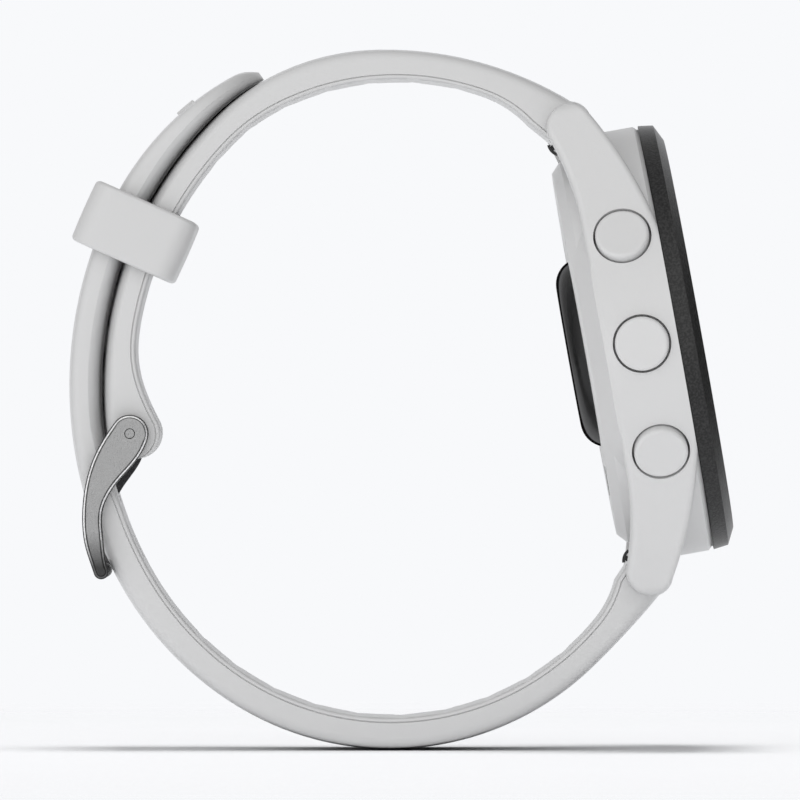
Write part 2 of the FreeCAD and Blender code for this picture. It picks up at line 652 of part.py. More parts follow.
def make_lower_strap():
    """Strap with the holes, from the 6 o'clock lugs round to the tail."""
    outer, outer_end = tangent_arcs(OUTER_OUT_R, TAIL_START, LOWER_OUTER_ARCS, -1)
    inner, inner_end = tangent_arcs(OUTER_IN_R, TAIL_START, LOWER_INNER_ARCS, -1)
    start_out, start_in = polar(OUTER_OUT_R, TAIL_START), polar(OUTER_IN_R, TAIL_START)
    closing = strap_end(-1, outer_end, inner_end)
    body = slab(outer + closing + inner[::-1] + [line(start_in, start_out)],
                -STRAP_HALF, STRAP_HALF)
    tail = make_tail()
    body = body.fuse(tail).removeSplitter()
    pip = ring_sector(OUTER_IN_R + 1, PIP_TOP_R, PIP_START, PIP_END, -PIP_HALF, PIP_HALF)
    body = body.fuse(pip).removeSplitter()
    pieces["lower_strap"] = body.cut(bar_cuts(-1) + strap_holes() + [prong_hole()])


def make_tail():
    """Clasp side of the lower strap, tapering to the rounded tip."""
    outer_mid = polar(OUTER_OUT_R, (TAIL_START + TAIL_TAPER) / 2)
    inner_mid = polar(OUTER_IN_R, (TAIL_START + TAIL_END) / 2)
    taper_middle = polar(TAIL_MID_R, (TAIL_TAPER + TAIL_END) / 2)
    taper_end = polar(TAIL_TIP_R, TAIL_END)
    inner_end = polar(OUTER_IN_R, TAIL_END)
    edges = [arc(polar(OUTER_OUT_R, TAIL_START), outer_mid, polar(OUTER_OUT_R, TAIL_TAPER)),
             arc(polar(OUTER_OUT_R, TAIL_TAPER), taper_middle, taper_end),
             line(taper_end, inner_end),
             arc(inner_end, inner_mid, polar(OUTER_IN_R, TAIL_START)),
             line(polar(OUTER_IN_R, TAIL_START), polar(OUTER_OUT_R, TAIL_START))]
    return slab(edges, -STRAP_HALF, STRAP_HALF).cut(beside_tip())


def beside_tip():
    """What is cut away beside the tail's rounded tip."""
    start = TAIL_END - TIP_ROUNDING
    centre = side(polar(OUTER_IN_R, start))
    keep = Part.makeCylinder(STRAP_HALF, 14, centre - V(0, 7, 0), Y_AXIS)
    keep.rotate(centre, X_AXIS, start)
    zone = ring_sector(OUTER_IN_R - 3, OUTER_OUT_R + 3, start, TAIL_END + 3,
                       -STRAP_HALF - 1, STRAP_HALF + 1)
    return zone.cut(keep)


def strap_holes():
    """Adjusting holes on the clasp side, apart from the one in use."""
    holes = []
    for step in range(-HOLES_BELOW, HOLES_ABOVE + 1):
        if step == 0:
            continue
        angle = HOLE_IN_USE + step * HOLE_STEP
        hole = Part.makeBox(2 * HOLE_HALF_WIDTH, 6, 2 * HOLE_HALF_LENGTH,
                            V(-HOLE_HALF_WIDTH, -3, -HOLE_HALF_LENGTH))
        upright = [edge for edge in hole.Edges
                   if abs(edge.tangentAt(edge.FirstParameter).y) > 0.9]
        hole = hole.makeFillet(HOLE_CORNER, upright)
        hole.rotate(V(0, 0, 0), X_AXIS, angle)
        hole.translate(side(polar(HOLE_ORBIT, angle)))
        holes.append(hole)
    return holes


def prong_line():
    """Middle line of the prong, from beside the pin to its resting place on the front bar."""
    root = (PIN[0] - 0.75, PIN[1] - 1.0)
    return [root] + PRONG_POINTS + [polar(PRONG_REST_ORBIT, FRONT_BAR_ANGLE - 0.3)]


def prong_hole():
    """Slanted hole in use, wide enough for the prong to swing a little."""
    points = prong_line()[2:6]
    start = (points[0][0] - 0.6, points[0][1] + 0.7)
    return ribbon([start] + points, PRONG_ROOM_HALF, PRONG_HALF_WIDTH + 0.25)


def make_upper_strap():
    """Strap with the buckle, from the 12 o'clock lugs round to the buckle pin."""
    outer, outer_end = tangent_arcs(INNER_OUT_R, INNER_END, UPPER_OUTER_ARCS, 1)
    inner, inner_end = tangent_arcs(INNER_IN_R, INNER_END, UPPER_INNER_ARCS, 1)
    start_out, start_in = polar(INNER_OUT_R, INNER_END), polar(INNER_IN_R, INNER_END)
    closing = strap_end(1, outer_end, inner_end)
    body = slab(outer + closing + inner[::-1] + [line(start_in, start_out)],
                -STRAP_HALF, STRAP_HALF)
    clasp_side = ring_sector(INNER_IN_R, INNER_OUT_R, PIN_ANGLE, INNER_END,
                             -STRAP_HALF, STRAP_HALF)
    bulb = rod(BULB_R, -STRAP_HALF, STRAP_HALF, BULB_CENTRE)
    flare_root = polar(INNER_IN_R, FLARE_START)
    flare_end = polar(BULB_R, FLARE_FOOT, BULB_CENTRE)
    inside = polar(INNER_IN_R + 1.5, FLARE_START)
    underside = flowing_edge([flare_root, FLARE_MIDDLE, flare_end], heading(FLARE_START),
                             heading(FLARE_FOOT + 180))
    flare = slab([underside, line(flare_end, BULB_CENTRE), line(BULB_CENTRE, inside),
                  line(inside, flare_root)], -STRAP_HALF, STRAP_HALF)
    body = body.fuse([clasp_side, bulb, flare]).removeSplitter()
    pieces["upper_strap"] = body.cut(
        bar_cuts(1) + [rod(PIN_R + 0.03, -12, 12, PIN), prong_room()])


def prong_room():
    """Slot in the buckle end where the prong's loop sits on the pin."""
    reach = PRONG_ROOM_R
    corners = [(PIN[0], PIN[1] + reach), (PIN[0] - 5, PIN[1] + reach), (PIN[0] - 5, PIN[1] - 5),
               (PIN[0] + 3, PIN[1] - 5)]
    below = slab([line(corners[index - 1], corners[index]) for index in range(4)],
                 -PRONG_SLOT_HALF, PRONG_SLOT_HALF)
    return rod(reach, -PRONG_SLOT_HALF, PRONG_SLOT_HALF, PIN).fuse(below)


# ---- spring bars --------------------------------------------------------------------------
def make_spring_bar(name, hand):
    """Spring bar with a fixed right tip, and the sliding left tip with its release lever."""
    axis = (BAR_Y, hand * BAR_Z)
    tube = rod(BAR_R, -BAR_HALF, BAR_HALF, axis).fuse(rod(TIP_R, BAR_HALF, 10.95, axis))
    bore = rod(TIP_R + 0.05, -BAR_HALF - 0.1, -3.4, axis)
    slot = Part.makeBox(2.9, 2.0, 1.0, V(-7.45, BAR_Y, hand * BAR_Z - 0.5))
    slot.rotate(side(axis), X_AXIS, -hand * LEVER_ANGLE)
    pieces[name + "_spring_bar"] = tube.cut([bore, slot])
    plunger = rod(TIP_R, -10.9, -5.0, axis)
    neck = Part.makeBox(1.0, 2.8, 0.5, V(-7.2, BAR_Y, hand * BAR_Z - 0.25))
    neck.rotate(side(axis), X_AXIS, -hand * LEVER_ANGLE)
    thumb = [(y, hand * z) for y, z in LEVER_THUMB]
    pad = ribbon(thumb, LEVER_THUMB_HALF, 0.6)
    pad.translate(V(-6.7, 0, 0))
    pieces[name + "_release_lever"] = plunger.fuse([neck, pad]).removeSplitter()


# ---- buckle -------------------------------------------------------------------------------
def heading(degrees):
    """Direction (y, z) of a clockwise walk round a circle, at an angle on it."""
    angle = radians(degrees)
    return sin(angle), -cos(angle)


def flowing_edge(points, start_way, end_way):
    """Smooth edge through (y, z) points, leaving and arriving in the given directions."""
    curve = Part.BSplineCurve()
    curve.interpolate(Points=[side(point) for point in points],
                      InitialTangent=side(start_way), FinalTangent=side(end_way))
    return curve.toShape()


def arm_outline():
    """Side outline of a buckle arm: round head at the pin, S-shaped arm, rounded tip."""
    tip = polar(FRONT_BAR_ORBIT, FRONT_BAR_ANGLE)
    head_out, head_in = 46, 208
    tip_out, tip_in = -8, -192
    outer = [polar(BUCKLE_HEAD_R, head_out, PIN)] + ARM_OUTER + [
        polar(FRONT_BAR_R, tip_out, tip)]
    inner = [polar(FRONT_BAR_R, tip_in, tip)] + ARM_INNER + [
        polar(BUCKLE_HEAD_R, head_in, PIN)]
    return [arc(inner[-1], polar(BUCKLE_HEAD_R, 120, PIN), outer[0]),
            flowing_edge(outer, heading(head_out), heading(tip_out)),
            arc(outer[-1], polar(FRONT_BAR_R, -100, tip), inner[0]),
            flowing_edge(inner, heading(tip_in), heading(head_in))]


def make_buckle():
    arm = slab(arm_outline(), ARM_IN_X, ARM_OUT_X)
    rim = [edge for edge in arm.Edges if edge.BoundBox.XMin > ARM_OUT_X - 0.01]
    arm = arm.makeFillet(ARM_ROUNDING, rim)
    tip = polar(FRONT_BAR_ORBIT, FRONT_BAR_ANGLE)
    bar = rod(FRONT_BAR_R, -ARM_IN_X - 0.5, ARM_IN_X + 0.5, tip)
    frame = bar.fuse([arm, arm.mirror(V(0, 0, 0), X_AXIS)])
    frame = frame.cut([rod(PIN_R + PIN_CLEARANCE, -13, 13, PIN), prong_notch()])
    pieces["buckle_frame"] = frame.removeSplitter()
    pieces["buckle_pin"] = rod(PIN_R, -ARM_OUT_X + 0.1, ARM_OUT_X - 0.1, PIN)


def prong_notch():
    """Shallow notch in the front bar where the prong's tip rests."""
    return ribbon(prong_line()[4:], PRONG_HALF + 0.12, PRONG_HALF_WIDTH + 0.15).fuse(
        ring_sector(42.3, 44, FRONT_BAR_ANGLE - 3, FRONT_BAR_ANGLE + 4,
                    -PRONG_HALF_WIDTH - 0.15, PRONG_HALF_WIDTH + 0.15))


def make_prong():
    arm = ribbon(prong_line(), PRONG_HALF, PRONG_HALF_WIDTH)
    loop = rod(PIN_R + PRONG_LOOP_WALL, -PRONG_HALF_WIDTH, PRONG_HALF_WIDTH, PIN)
    prong = arm.fuse(loop).cut(rod(PIN_R + PIN_CLEARANCE, -3, 3, PIN))
    pieces["buckle_prong"] = prong.removeSplitter()


def make_keeper():
    """Free loop round both strap layers, its long side square to the strap."""
    def sleeve(half_radial, half_length, half_width, corner):
        box = Part.makeBox(2 * half_width, 2 * half_radial, 2 * half_length,
                           V(-half_width, -half_radial, -half_length))
        along = [edge for edge in box.Edges
                 if abs(edge.tangentAt(edge.FirstParameter).z) > 0.9]
        return box.makeFillet(corner, along)
    inside_half = STRAP_HALF + KEEPER_SIDE_GAP
    outside = sleeve(KEEPER_HALF_RADIAL, KEEPER_HALF_LENGTH, inside_half + KEEPER_SIDE_WALL,
                     KEEPER_SIDE_WALL)
    inside = sleeve(KEEPER_HALF_RADIAL - KEEPER_WALL, KEEPER_HALF_LENGTH + 1, inside_half, 0.5)
    across = [edge for edge in outside.Edges
              if abs(edge.tangentAt(edge.FirstParameter).x) > 0.9 and edge.Length > STRAP_HALF]
    keeper = outside.makeFillet(KEEPER_CORNER, across).cut(inside)
    keeper.rotate(V(0, 0, 0), X_AXIS, KEEPER_ANGLE)
    keeper.translate(side(polar(KEEPER_ORBIT, KEEPER_ANGLE)))
    pieces["keeper"] = keeper


# ---- assembly -----------------------------------------------------------------------------
def place_and_export():
    """Lean the case back, stand the loop on the floor plane and centre it, then export."""
    tilted = {}
    for name, shape in pieces.items():
        copy = shape.copy()
        copy.rotate(V(0, 0, 0), X_AXIS, -CASE_TILT)
        tilted[name] = copy
    box = Part.makeCompound(list(tilted.values())).optimalBoundingBox(False, False)
    shift = V(-(box.XMin + box.XMax) / 2, -(box.YMin + box.YMax) / 2, -box.ZMin)
    os.makedirs("parts", exist_ok=True)
    for name, shape in tilted.items():
        shape.translate(shift)
        shape.exportStep("parts/" + name + ".step")
        if not shape.isValid():
            print("not valid:", name)
    print("shift", shift, "size", box.XLength, box.YLength, box.ZLength)


make_mid_case()
make_bezel_and_glass()
make_back_cover()
make_sensor()
make_charge_port()
make_display()
make_board()
make_power_and_alerts()
make_switches()
for button, clock_angle in BUTTONS.items():
    make_button(button, clock_angle)
make_lower_strap()
make_upper_strap()
make_spring_bar("upper", 1)
make_spring_bar("lower", -1)
make_buckle()
make_prong()
make_keeper()
place_and_export()
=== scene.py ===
"""Looks of the GPS running watch: moulded strap, keeper, finishes, light and camera.

Shapes are given in millimetres in the case frame: x towards 3 o'clock, y through the back
cover towards the wrist, z towards 12 o'clock. place() turns them into metres in the frame
that all nodes share. A pair is a (y, z) point of a strip's outer face with the matching point
of its underside, and a station is one cross-section of the strip.
"""
import bpy
import bmesh
import json
from math import atan2, ceil, cos, pi, radians, sin, sqrt
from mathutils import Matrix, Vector


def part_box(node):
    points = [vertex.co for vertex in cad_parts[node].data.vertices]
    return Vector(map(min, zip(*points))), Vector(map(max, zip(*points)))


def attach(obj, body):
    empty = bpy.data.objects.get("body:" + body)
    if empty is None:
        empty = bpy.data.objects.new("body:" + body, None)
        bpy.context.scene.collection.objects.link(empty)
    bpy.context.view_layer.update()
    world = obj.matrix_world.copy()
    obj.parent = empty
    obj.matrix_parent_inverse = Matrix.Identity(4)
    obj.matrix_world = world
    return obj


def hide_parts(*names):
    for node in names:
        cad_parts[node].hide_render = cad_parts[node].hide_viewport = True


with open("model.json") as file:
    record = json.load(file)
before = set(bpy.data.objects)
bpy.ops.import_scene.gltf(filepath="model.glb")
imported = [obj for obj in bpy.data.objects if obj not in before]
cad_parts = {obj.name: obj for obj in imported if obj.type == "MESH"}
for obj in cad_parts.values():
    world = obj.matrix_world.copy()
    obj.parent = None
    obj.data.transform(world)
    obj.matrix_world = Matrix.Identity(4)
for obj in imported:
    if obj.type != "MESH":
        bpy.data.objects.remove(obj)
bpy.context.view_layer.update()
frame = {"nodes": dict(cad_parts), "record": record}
nodes = frame["nodes"]

# ---- case frame, found from the two spring bars ---------------------------------------------
MM = 0.001
BAR_Y, BAR_Z = 3.1, 22.45      # middle of the upper bar; the lower one is its mirror image
BAR_R = 0.8


def middle_of(node):
    low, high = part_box(node)
    return (low + high) / 2


RIGHT = Vector((1, 0, 0))
UP = middle_of("upper_spring_bar") - middle_of("lower_spring_bar")
UP.x = 0
UP.normalize()
BACK = UP.cross(RIGHT)
CENTRE = (middle_of("upper_spring_bar") + middle_of("lower_spring_bar")) / 2 - BACK * BAR_Y * MM
CENTRE.x = middle_of("lower_strap").x


def place(x, y, z):
    """A point of the case frame in metres in the shared frame."""
    return CENTRE + (RIGHT * x + BACK * y + UP * z) * MM


# ---- strap: path along the loop; angles are in degrees about the loop's centre ---------------
STRAP_HALF = 10.0
LOOP = (16.27, -1.26)          # centre (y, z) of the clasp side of the loop
OUTER_OUT_R, OUTER_IN_R = 41.15, 37.81         # the layer with the holes
INNER_OUT_R, INNER_IN_R = 37.79, 34.7          # the layer with the buckle, below it
INNER_END = 54.0
# tangent arcs (radius, sweep) that lead on from the clasp side to the lugs
LOWER_OUTER_ARCS = [(33.1, 30.0), (29.2, 76.0), (90.0, 6.2)]
LOWER_INNER_ARCS = [(30.5, 22.0), (26.5, 90.0), (10.1, 26.0)]
UPPER_OUTER_ARCS = [(24.0, 44.4), (35.8, 33.0)]
UPPER_INNER_ARCS = [(18.1, 19.8), (26.2, 45.3), (11.2, 28.0)]

# ---- strap: tail ----------------------------------------------------------------------------
TAIL_START, TAIL_TAPER, TAIL_END = -18.0, 34.0, 64.8
TAIL_DROP = 1.95               # how far the outer face comes in by the tip
TAPER_POWER = 2.2              # a higher one keeps that nearer the tip
TIP_DROP_FROM, TIP_DROP = 61.5, 0.075          # rounded tip: from, fall per square degree
TAIL_SINK = 0.33               # how far the underside comes in by the tip
TAIL_BEVEL_FROM, TAIL_BEVEL_BLEND = -8.0, 12.0
TIP_STATIONS = 70
TIP_ROUNDING = 14.5            # degrees over which the tip is rounded in plan
TIP_LEAST = 0.0004             # least square of the tip's share of the full width
PIP_FROM, PIP_TO, PIP_HEIGHT, PIP_HALF = 52.0, 54.9, 0.24, 3.0
PIP_ROOT, PIP_ROUNDING = 1.0, 0.08             # height above the underside, and its edges
HOLE_STEP, HOLE_IN_USE = 6.4, -8.5
HOLES_BELOW, HOLES_ABOVE = 1, 7                # free holes on each side of the one in use
HOLE_HALF_LENGTH, HOLE_HALF_WIDTH, HOLE_CORNER = 1.3, 1.1, 0.8
HOLE_ORBIT, HOLE_REACH = 39.5, 3.0
HOLE_CORNER_STEPS = 6
# middle line (y, z) of the slanted hole in use, from the underside outwards
SLANTED_HOLE = [(52.9, -3.75), (53.5, -4.45), (55.1, -6.3), (56.55, -8.2), (57.2, -10.3)]
SLANTED_HALF_LENGTH, SLANTED_HALF_WIDTH = 1.05, 1.25

# ---- strap: buckle end ----------------------------------------------------------------------
PIN_ORBIT, PIN_ANGLE, PIN_R = 35.3, 2.4, 0.45
BULB, BULB_R = (51.1, 0.2), 2.6                # centre (y, z) and radius of the end round the pin
BULB_OUTER_FROM, BULB_INNER_FROM = -86, -94    # where the two faces start, about its centre
BULB_LEAVE = -198              # where the underside leaves the bulb
BULB_STEPS = 30
FLARE_END, FLARE_PULL = 24.0, 5.0              # where the neck is even again; roundness
PRONG_ROOM_R, PRONG_SLOT_HALF = 2.3, 1.35
PRONG_ROOM_IN, PRONG_ROOM_OUT, PRONG_ROOM_DOWN = 5, 3, 5   # the slot's reach from the pin
OVERLAP = 0.002                # keeps the sides of two cutters from coinciding
BORE_GAP = 0.03                # play round a bar or a pin
PIN_BORE_HALF, BAR_BORE_HALF = 12, 11          # past the strap's edges

# ---- strap: ends at the lugs ----------------------------------------------------------------
# (y, z) round the upper strap's end; the lower strap's end is its mirror image
LUG_CREST, LUG_FRONT, LUG_CASE, LUG_BACK = (0.8, 23.5), (1.25, 21.6), (3.2, 20.45), (5.1, 21.3)
LUG_STEPS = 30                 # steps of the arc that faces the case
LUG_OUTER_TO, LUG_INNER_FROM = 13, 17          # the outer face's last step, the underside's first
LEVER_ANGLE = 40               # lean of the release lever's slot
LEVER_SLOT_REACH, LEVER_SLOT_HALF = 6, 0.8
LEVER_SLOT_FROM, LEVER_SLOT_TO = -7.7, -4.3    # across the strap

# ---- strap: spacing of the cross-sections ----------------------------------------------------
STATION_STEP = 0.55
LUG_STATION_STEP, BULB_STATION_STEP, NECK_STATION_STEP = 0.3, 0.2, 0.4
OUTER_SHARE = 0.7              # weight of the outer face's length in the number of stations

# ---- strap: cross-section -------------------------------------------------------------------
EDGE = 1.15                    # depth of the rounded outer edge
EDGE_SLOPE = 0.8               # its width over its depth
COVERED_EDGE, COVERED_SLOPE = 0.9, 3.0         # the same where the tail lies on top
COVERED_BLEND = 12.0           # degrees over which one passes into the other
CROWN = 0.3                    # how far the outer face falls from its middle to its edges
CROWN_STEPS = 6
UNDER_BEVEL = 0.45             # depth of the bevel along the underside
BEVEL_SLOPE = 0.4              # its width over its depth
TAIL_BEVEL, TAIL_BEVEL_SLOPE = 1.2, 3.6        # the same two on the tail
GROOVE = 0.2                   # depth of the fine line where the bevel starts
TAIL_GROOVE = 0.02             # the same on the tail
FOOT = 0.12                    # height of the raised pads on the underside
PAD_PITCH = 4.4                # from one pad to the next
PAD_LEAST = 0.35               # height left in the grooves between pads, as a share
PAD_RAMP = 0.35                # length over which a pad rises from its groove
PAD_GAP = 0.7                  # width of the groove between two pads
LOWER_PADS, UPPER_PADS = (62.0, 104.0), (30.0, 62.0)   # from and to, along the underside
ROUNDING_TURNS = range(15, 91, 15)
# (aside, down) as shares of a feature's width and depth
EDGE_SHAPE = [(sin(radians(turn)), 1 - cos(radians(turn))) for turn in ROUNDING_TURNS]
BEVEL_SHAPE = [(1 - cos(radians(turn)), sin(radians(turn))) for turn in ROUNDING_TURNS]
GROOVE_SHAPE = [(0, 0), (1, 0.25), (1, 0.55), (0.2, 0.7)]
# (share of the width, share of the height) from the foot of a pad to the underside's middle
PAD_SHAPE = [(0.98, 0), (0.96, 0.8), (0.93, 1), (0.6, 1), (0.3, 1), (0, 1)]
# largest share of the half width or the thickness that a feature takes in a small section
EDGE_OF_HALF, EDGE_OF_THICKNESS = 0.45, 0.3
CROWN_OF_THICKNESS, FOOT_OF_THICKNESS, BEVEL_OF_THICKNESS = 0.12, 0.1, 0.4
BEVEL_OF_HALF, GROOVE_OF_BEVEL = 0.6, 0.5
CREASE_ANGLE = 32              # degrees above which an edge stays crisp

# ---- keeper ---------------------------------------------------------------------------------
KEEPER_ANGLE, KEEPER_ORBIT = 34.1, 37.75
KEEPER_HALF_RADIAL, KEEPER_HALF_LENGTH, KEEPER_HALF_WIDTH = 5.55, 3.25, 11.85
KEEPER_WALL, KEEPER_SIDE_WALL = 1.9, 1.5
KEEPER_EDGE, KEEPER_SIDE_EDGE, KEEPER_INNER_BEVEL = 1.1, 0.6, 0.2
KEEPER_CORNER, KEEPER_INNER_CORNER, KEEPER_CORNER_STEPS = 2.1, 0.5, 10
KEEPER_CROWN = 0.05


# ---- plane geometry: points are (y, z) in millimetres ----------------------------------------
def clamped(share):
    return min(max(share, 0.0), 1.0)


def blend(first, second, share):
    return first + (second - first) * share


def distance(a, b):
    return sqrt((a[0] - b[0]) ** 2 + (a[1] - b[1]) ** 2)


def length_of(points):
    return sum(distance(a, b) for a, b in zip(points, points[1:]))


def polar(radius, degrees, centre=LOOP):
    angle = radians(degrees)
    return centre[0] + radius * cos(angle), centre[1] + radius * sin(angle)


def arc_points(radius, start, end, centre=LOOP, count=400):
    return [polar(radius, start + (end - start) * k / count, centre) for k in range(count + 1)]


def circle(radius, centre, count):
    """Evenly spaced points of a whole circle."""
    return arc_points(radius, 0, 360 - 360 / count, centre, count - 1)


def circle_centre(first, second, third):
    """Centre of the circle through three points."""
    (ay, az), (by, bz), (cy, cz) = first, second, third
    divisor = 2 * (ay * (bz - cz) + by * (cz - az) + cy * (az - bz))
    a_square, b_square, c_square = ay * ay + az * az, by * by + bz * bz, cy * cy + cz * cz
    return ((a_square * (bz - cz) + b_square * (cz - az) + c_square * (az - bz)) / divisor,
            (a_square * (cy - by) + b_square * (ay - cy) + c_square * (by - ay)) / divisor)


def arc_through(first, second, third, count=24):
    """Points of the circle through three points, from the first to the third."""
    centre = circle_centre(first, second, third)
    radius = distance(first, centre)
    turns = [atan2(p[1] - centre[1], p[0] - centre[0]) for p in (first, second, third)]
    sweep = (turns[2] - turns[0]) % (2 * pi)
    if (turns[1] - turns[0]) % (2 * pi) > sweep:
        sweep -= 2 * pi
    return [(centre[0] + radius * cos(turns[0] + sweep * k / count),
             centre[1] + radius * sin(turns[0] + sweep * k / count)) for k in range(count + 1)]


def walk(radius, angle, turns, sign):
    """Points of tangent arcs that leave the loop circle at an angle."""
    point = polar(radius, angle)
    points = [point]
    for turn_radius, sweep in turns:
        centre = polar(-turn_radius, angle, point)
        swept = arc_points(turn_radius, angle, angle + sign * sweep, centre)
        points += swept[1:]
        point = swept[-1]
        angle += sign * sweep
    return points


def bridge(start, start_way, end, end_way, pull, count=24):
    """Smooth curve that leaves start and reaches end in the given directions (degrees)."""
    corners = (start, polar(pull, start_way, start), polar(-pull, end_way, end), end)
    points = []
    for k in range(count + 1):
        t = k / count
        weights = ((1 - t) ** 3, 3 * t * (1 - t) ** 2, 3 * t * t * (1 - t), t ** 3)
        points.append(tuple(sum(w * c[axis] for w, c in zip(weights, corners))
                            for axis in (0, 1)))
    return points


def spread(points, count):
    """The same line as count + 1 evenly spaced points."""
    lengths = [0.0]
    for a, b in zip(points, points[1:]):
        lengths.append(lengths[-1] + distance(a, b))
    result, k = [], 0
    for step in range(count + 1):
        target = lengths[-1] * step / count
        while k < len(points) - 2 and lengths[k + 1] < target:
            k += 1
        share = clamped((target - lengths[k]) / max(lengths[k + 1] - lengths[k], 1e-9))
        result.append(tuple(blend(p, q, share) for p, q in zip(points[k], points[k + 1])))
    return result


def matched(outer, inner, step=STATION_STEP):
    """Pairs of points on the outer face and the underside, evenly spaced along both."""
    length = max(length_of(inner), length_of(outer) * OUTER_SHARE)
    count = max(2, ceil(length / step))
    return list(zip(spread(outer, count), spread(inner, count)))


def joined(*runs):
    """Runs of pairs one after the other, without the doubled ends."""
    result = list(runs[0])
    for run in runs[1:]:
        result += run[1:]
    return result


def strip_outline(points, half):
    """Outline of an even strip along a line of (y, z) points."""
    left, right = [], []
    for k, point in enumerate(points):
        before, after = points[max(k - 1, 0)], points[min(k + 1, len(points) - 1)]
        length = distance(before, after)
        side = ((before[1] - after[1]) / length, (after[0] - before[0]) / length)
        left.append((point[0] + side[0] * half, point[1] + side[1] * half))
        right.append((point[0] - side[0] * half, point[1] - side[1] * half))
    return left + right[::-1]


def rounded_rectangle(half_width, half_height, corner, steps):
    """(x, y, side) round a rounded rectangle; side is 1 where it faces along x, 0 along y."""
    points = []
    for k, (sx, sy) in enumerate(((1, 1), (-1, 1), (-1, -1), (1, -1))):
        for j in range(steps + 1):
            turn = radians(90 * k + 90 * j / steps)
            points.append((sx * (half_width - corner) + corner * cos(turn),
                           sy * (half_height - corner) + corner * sin(turn), abs(cos(turn))))
    return points


# ---- cross-sections of a strip: points are (across, depth) -----------------------------------
def outer_face(half, edge, edge_slope, crown):
    """The crowned outer face, from its middle, and its rounded edge."""
    width = edge * edge_slope
    flat = half - width
    points = [(flat * k / CROWN_STEPS, crown * (k / CROWN_STEPS) ** 2)
              for k in range(CROWN_STEPS + 1)]
    return points + [(flat + width * aside, crown + edge * down) for aside, down in EDGE_SHAPE]


def underside(half, thickness, foot, bevel, slope, groove, pad):
    """The groove, the bevel and the pad, as far as the middle of the underside."""
    start = thickness - foot - bevel
    points = [(half - groove * aside, start + groove * down) for aside, down in GROOVE_SHAPE]
    lip_across, lip_depth = points[-1]
    width, depth = slope * bevel, bevel - groove * GROOVE_SHAPE[-1][1]
    points += [(lip_across - width * aside, lip_depth + depth * down)
               for aside, down in BEVEL_SHAPE]
    limit = (lip_across - width) / half
    points += [(half * share * limit, thickness - foot * (1 - rise * pad))
               for share, rise in PAD_SHAPE]
    return points


def half_section(station, thickness):
    """One half of a cross-section, from the middle of the outer face to that of the underside."""
    half = station["half"]
    edge = min(station["edge"], EDGE_OF_HALF * half, EDGE_OF_THICKNESS * thickness)
    crown = min(station["crown"], CROWN_OF_THICKNESS * thickness)
    foot = min(FOOT, FOOT_OF_THICKNESS * thickness)
    deepening = clamped((station["bevel"] - UNDER_BEVEL) / (TAIL_BEVEL - UNDER_BEVEL))
    bevel = min(station["bevel"], BEVEL_OF_THICKNESS * thickness)
    slope = min(blend(BEVEL_SLOPE, TAIL_BEVEL_SLOPE, deepening), BEVEL_OF_HALF * half / bevel)
    groove = min(blend(GROOVE, TAIL_GROOVE, deepening), GROOVE_OF_BEVEL * bevel)
    return (outer_face(half, edge, station["edge_slope"], crown)
            + underside(half, thickness, foot, bevel, slope, groove, station["pad"]))


def section_points(station):
    """Closed cross-section of a strip as points in the case frame."""
    outer, inner, across = (Vector(station[key]) for key in ("outer", "inner", "across"))
    inward = inner - outer
    thickness = inward.length
    inward.normalize()
    half = half_section(station, thickness)
    right = [outer + across * x + inward * depth for x, depth in half]
    left = [outer - across * x + inward * depth for x, depth in half[1:-1]]
    return right + left[::-1]


# ---- meshes ---------------------------------------------------------------------------------
def mesh_object(name, points, faces):
    """Object made of points of the case frame, with its faces turned outwards."""
    mesh = bpy.data.meshes.new(name)
    mesh.from_pydata([place(*point) for point in points], [], faces)
    work = bmesh.new()
    work.from_mesh(mesh)
    bmesh.ops.recalc_face_normals(work, faces=work.faces)
    work.to_mesh(mesh)
    work.free()
    made = bpy.data.objects.new(name, mesh)
    bpy.context.scene.collection.objects.link(made)
    return made


def loft(name, stations, closed=False):
    """Skin over the cross-sections of the stations."""
    sections = [section_points(station) for station in stations]
    count = len(sections[0])
    points = [point for section in sections for point in section]
    faces = []
    for k in range(len(sections) if closed else len(sections) - 1):
        after = (k + 1) % len(sections)
        for j in range(count):
            near = (j + 1) % count
            faces.append((k * count + j, k * count + near,
                          after * count + near, after * count + j))
    if not closed:
        faces.append(tuple(range(count)))
        faces.append(tuple(range((len(sections) - 1) * count, len(sections) * count)))
    return mesh_object(name, points, faces)


def solid_between(near, far):
    """Solid between two matching outlines of (x, y, z) points."""
    count = len(near)
    faces = [tuple(range(count)), tuple(range(count, 2 * count))]
    faces += [(k, (k + 1) % count, count + (k + 1) % count, count + k) for k in range(count)]
    return mesh_object("cutter", near + far, faces)


def prism(outline, low, high):
    """Solid with an outline of (y, z) points, from x = low to x = high."""
    return solid_between([(low, y, z) for y, z in outline], [(high, y, z) for y, z in outline])


def hole_prism(angle):
    """Rounded square hole along the loop's radius."""
    outline = rounded_rectangle(HOLE_HALF_WIDTH, HOLE_HALF_LENGTH, HOLE_CORNER, HOLE_CORNER_STEPS)
    turn = radians(angle)
    ends = []
    for radius in (HOLE_ORBIT - HOLE_REACH, HOLE_ORBIT + HOLE_REACH):
        y, z = polar(radius, angle)
        ends.append([(x, y - along * sin(turn), z + along * cos(turn)) for x, along, _ in outline])
    return solid_between(*ends)


def bake(body):
    """The body as plain mesh, with its modifiers applied."""
    bpy.context.view_layer.update()
    result = bpy.data.meshes.new_from_object(
        body.evaluated_get(bpy.context.evaluated_depsgraph_get()))
    body.modifiers.clear()
    body.data = result
    return body


def cut(body, cutters, operation="DIFFERENCE"):
    """The body with the cutters taken out of it, or added to it."""
    for cutter in cutters:
        step = body.modifiers.new("cut", "BOOLEAN")
        step.operation = operation
        step.solver = "EXACT"
        step.object = cutter
    bake(body)
    for cutter in cutters:
        bpy.data.objects.remove(cutter)
    return body


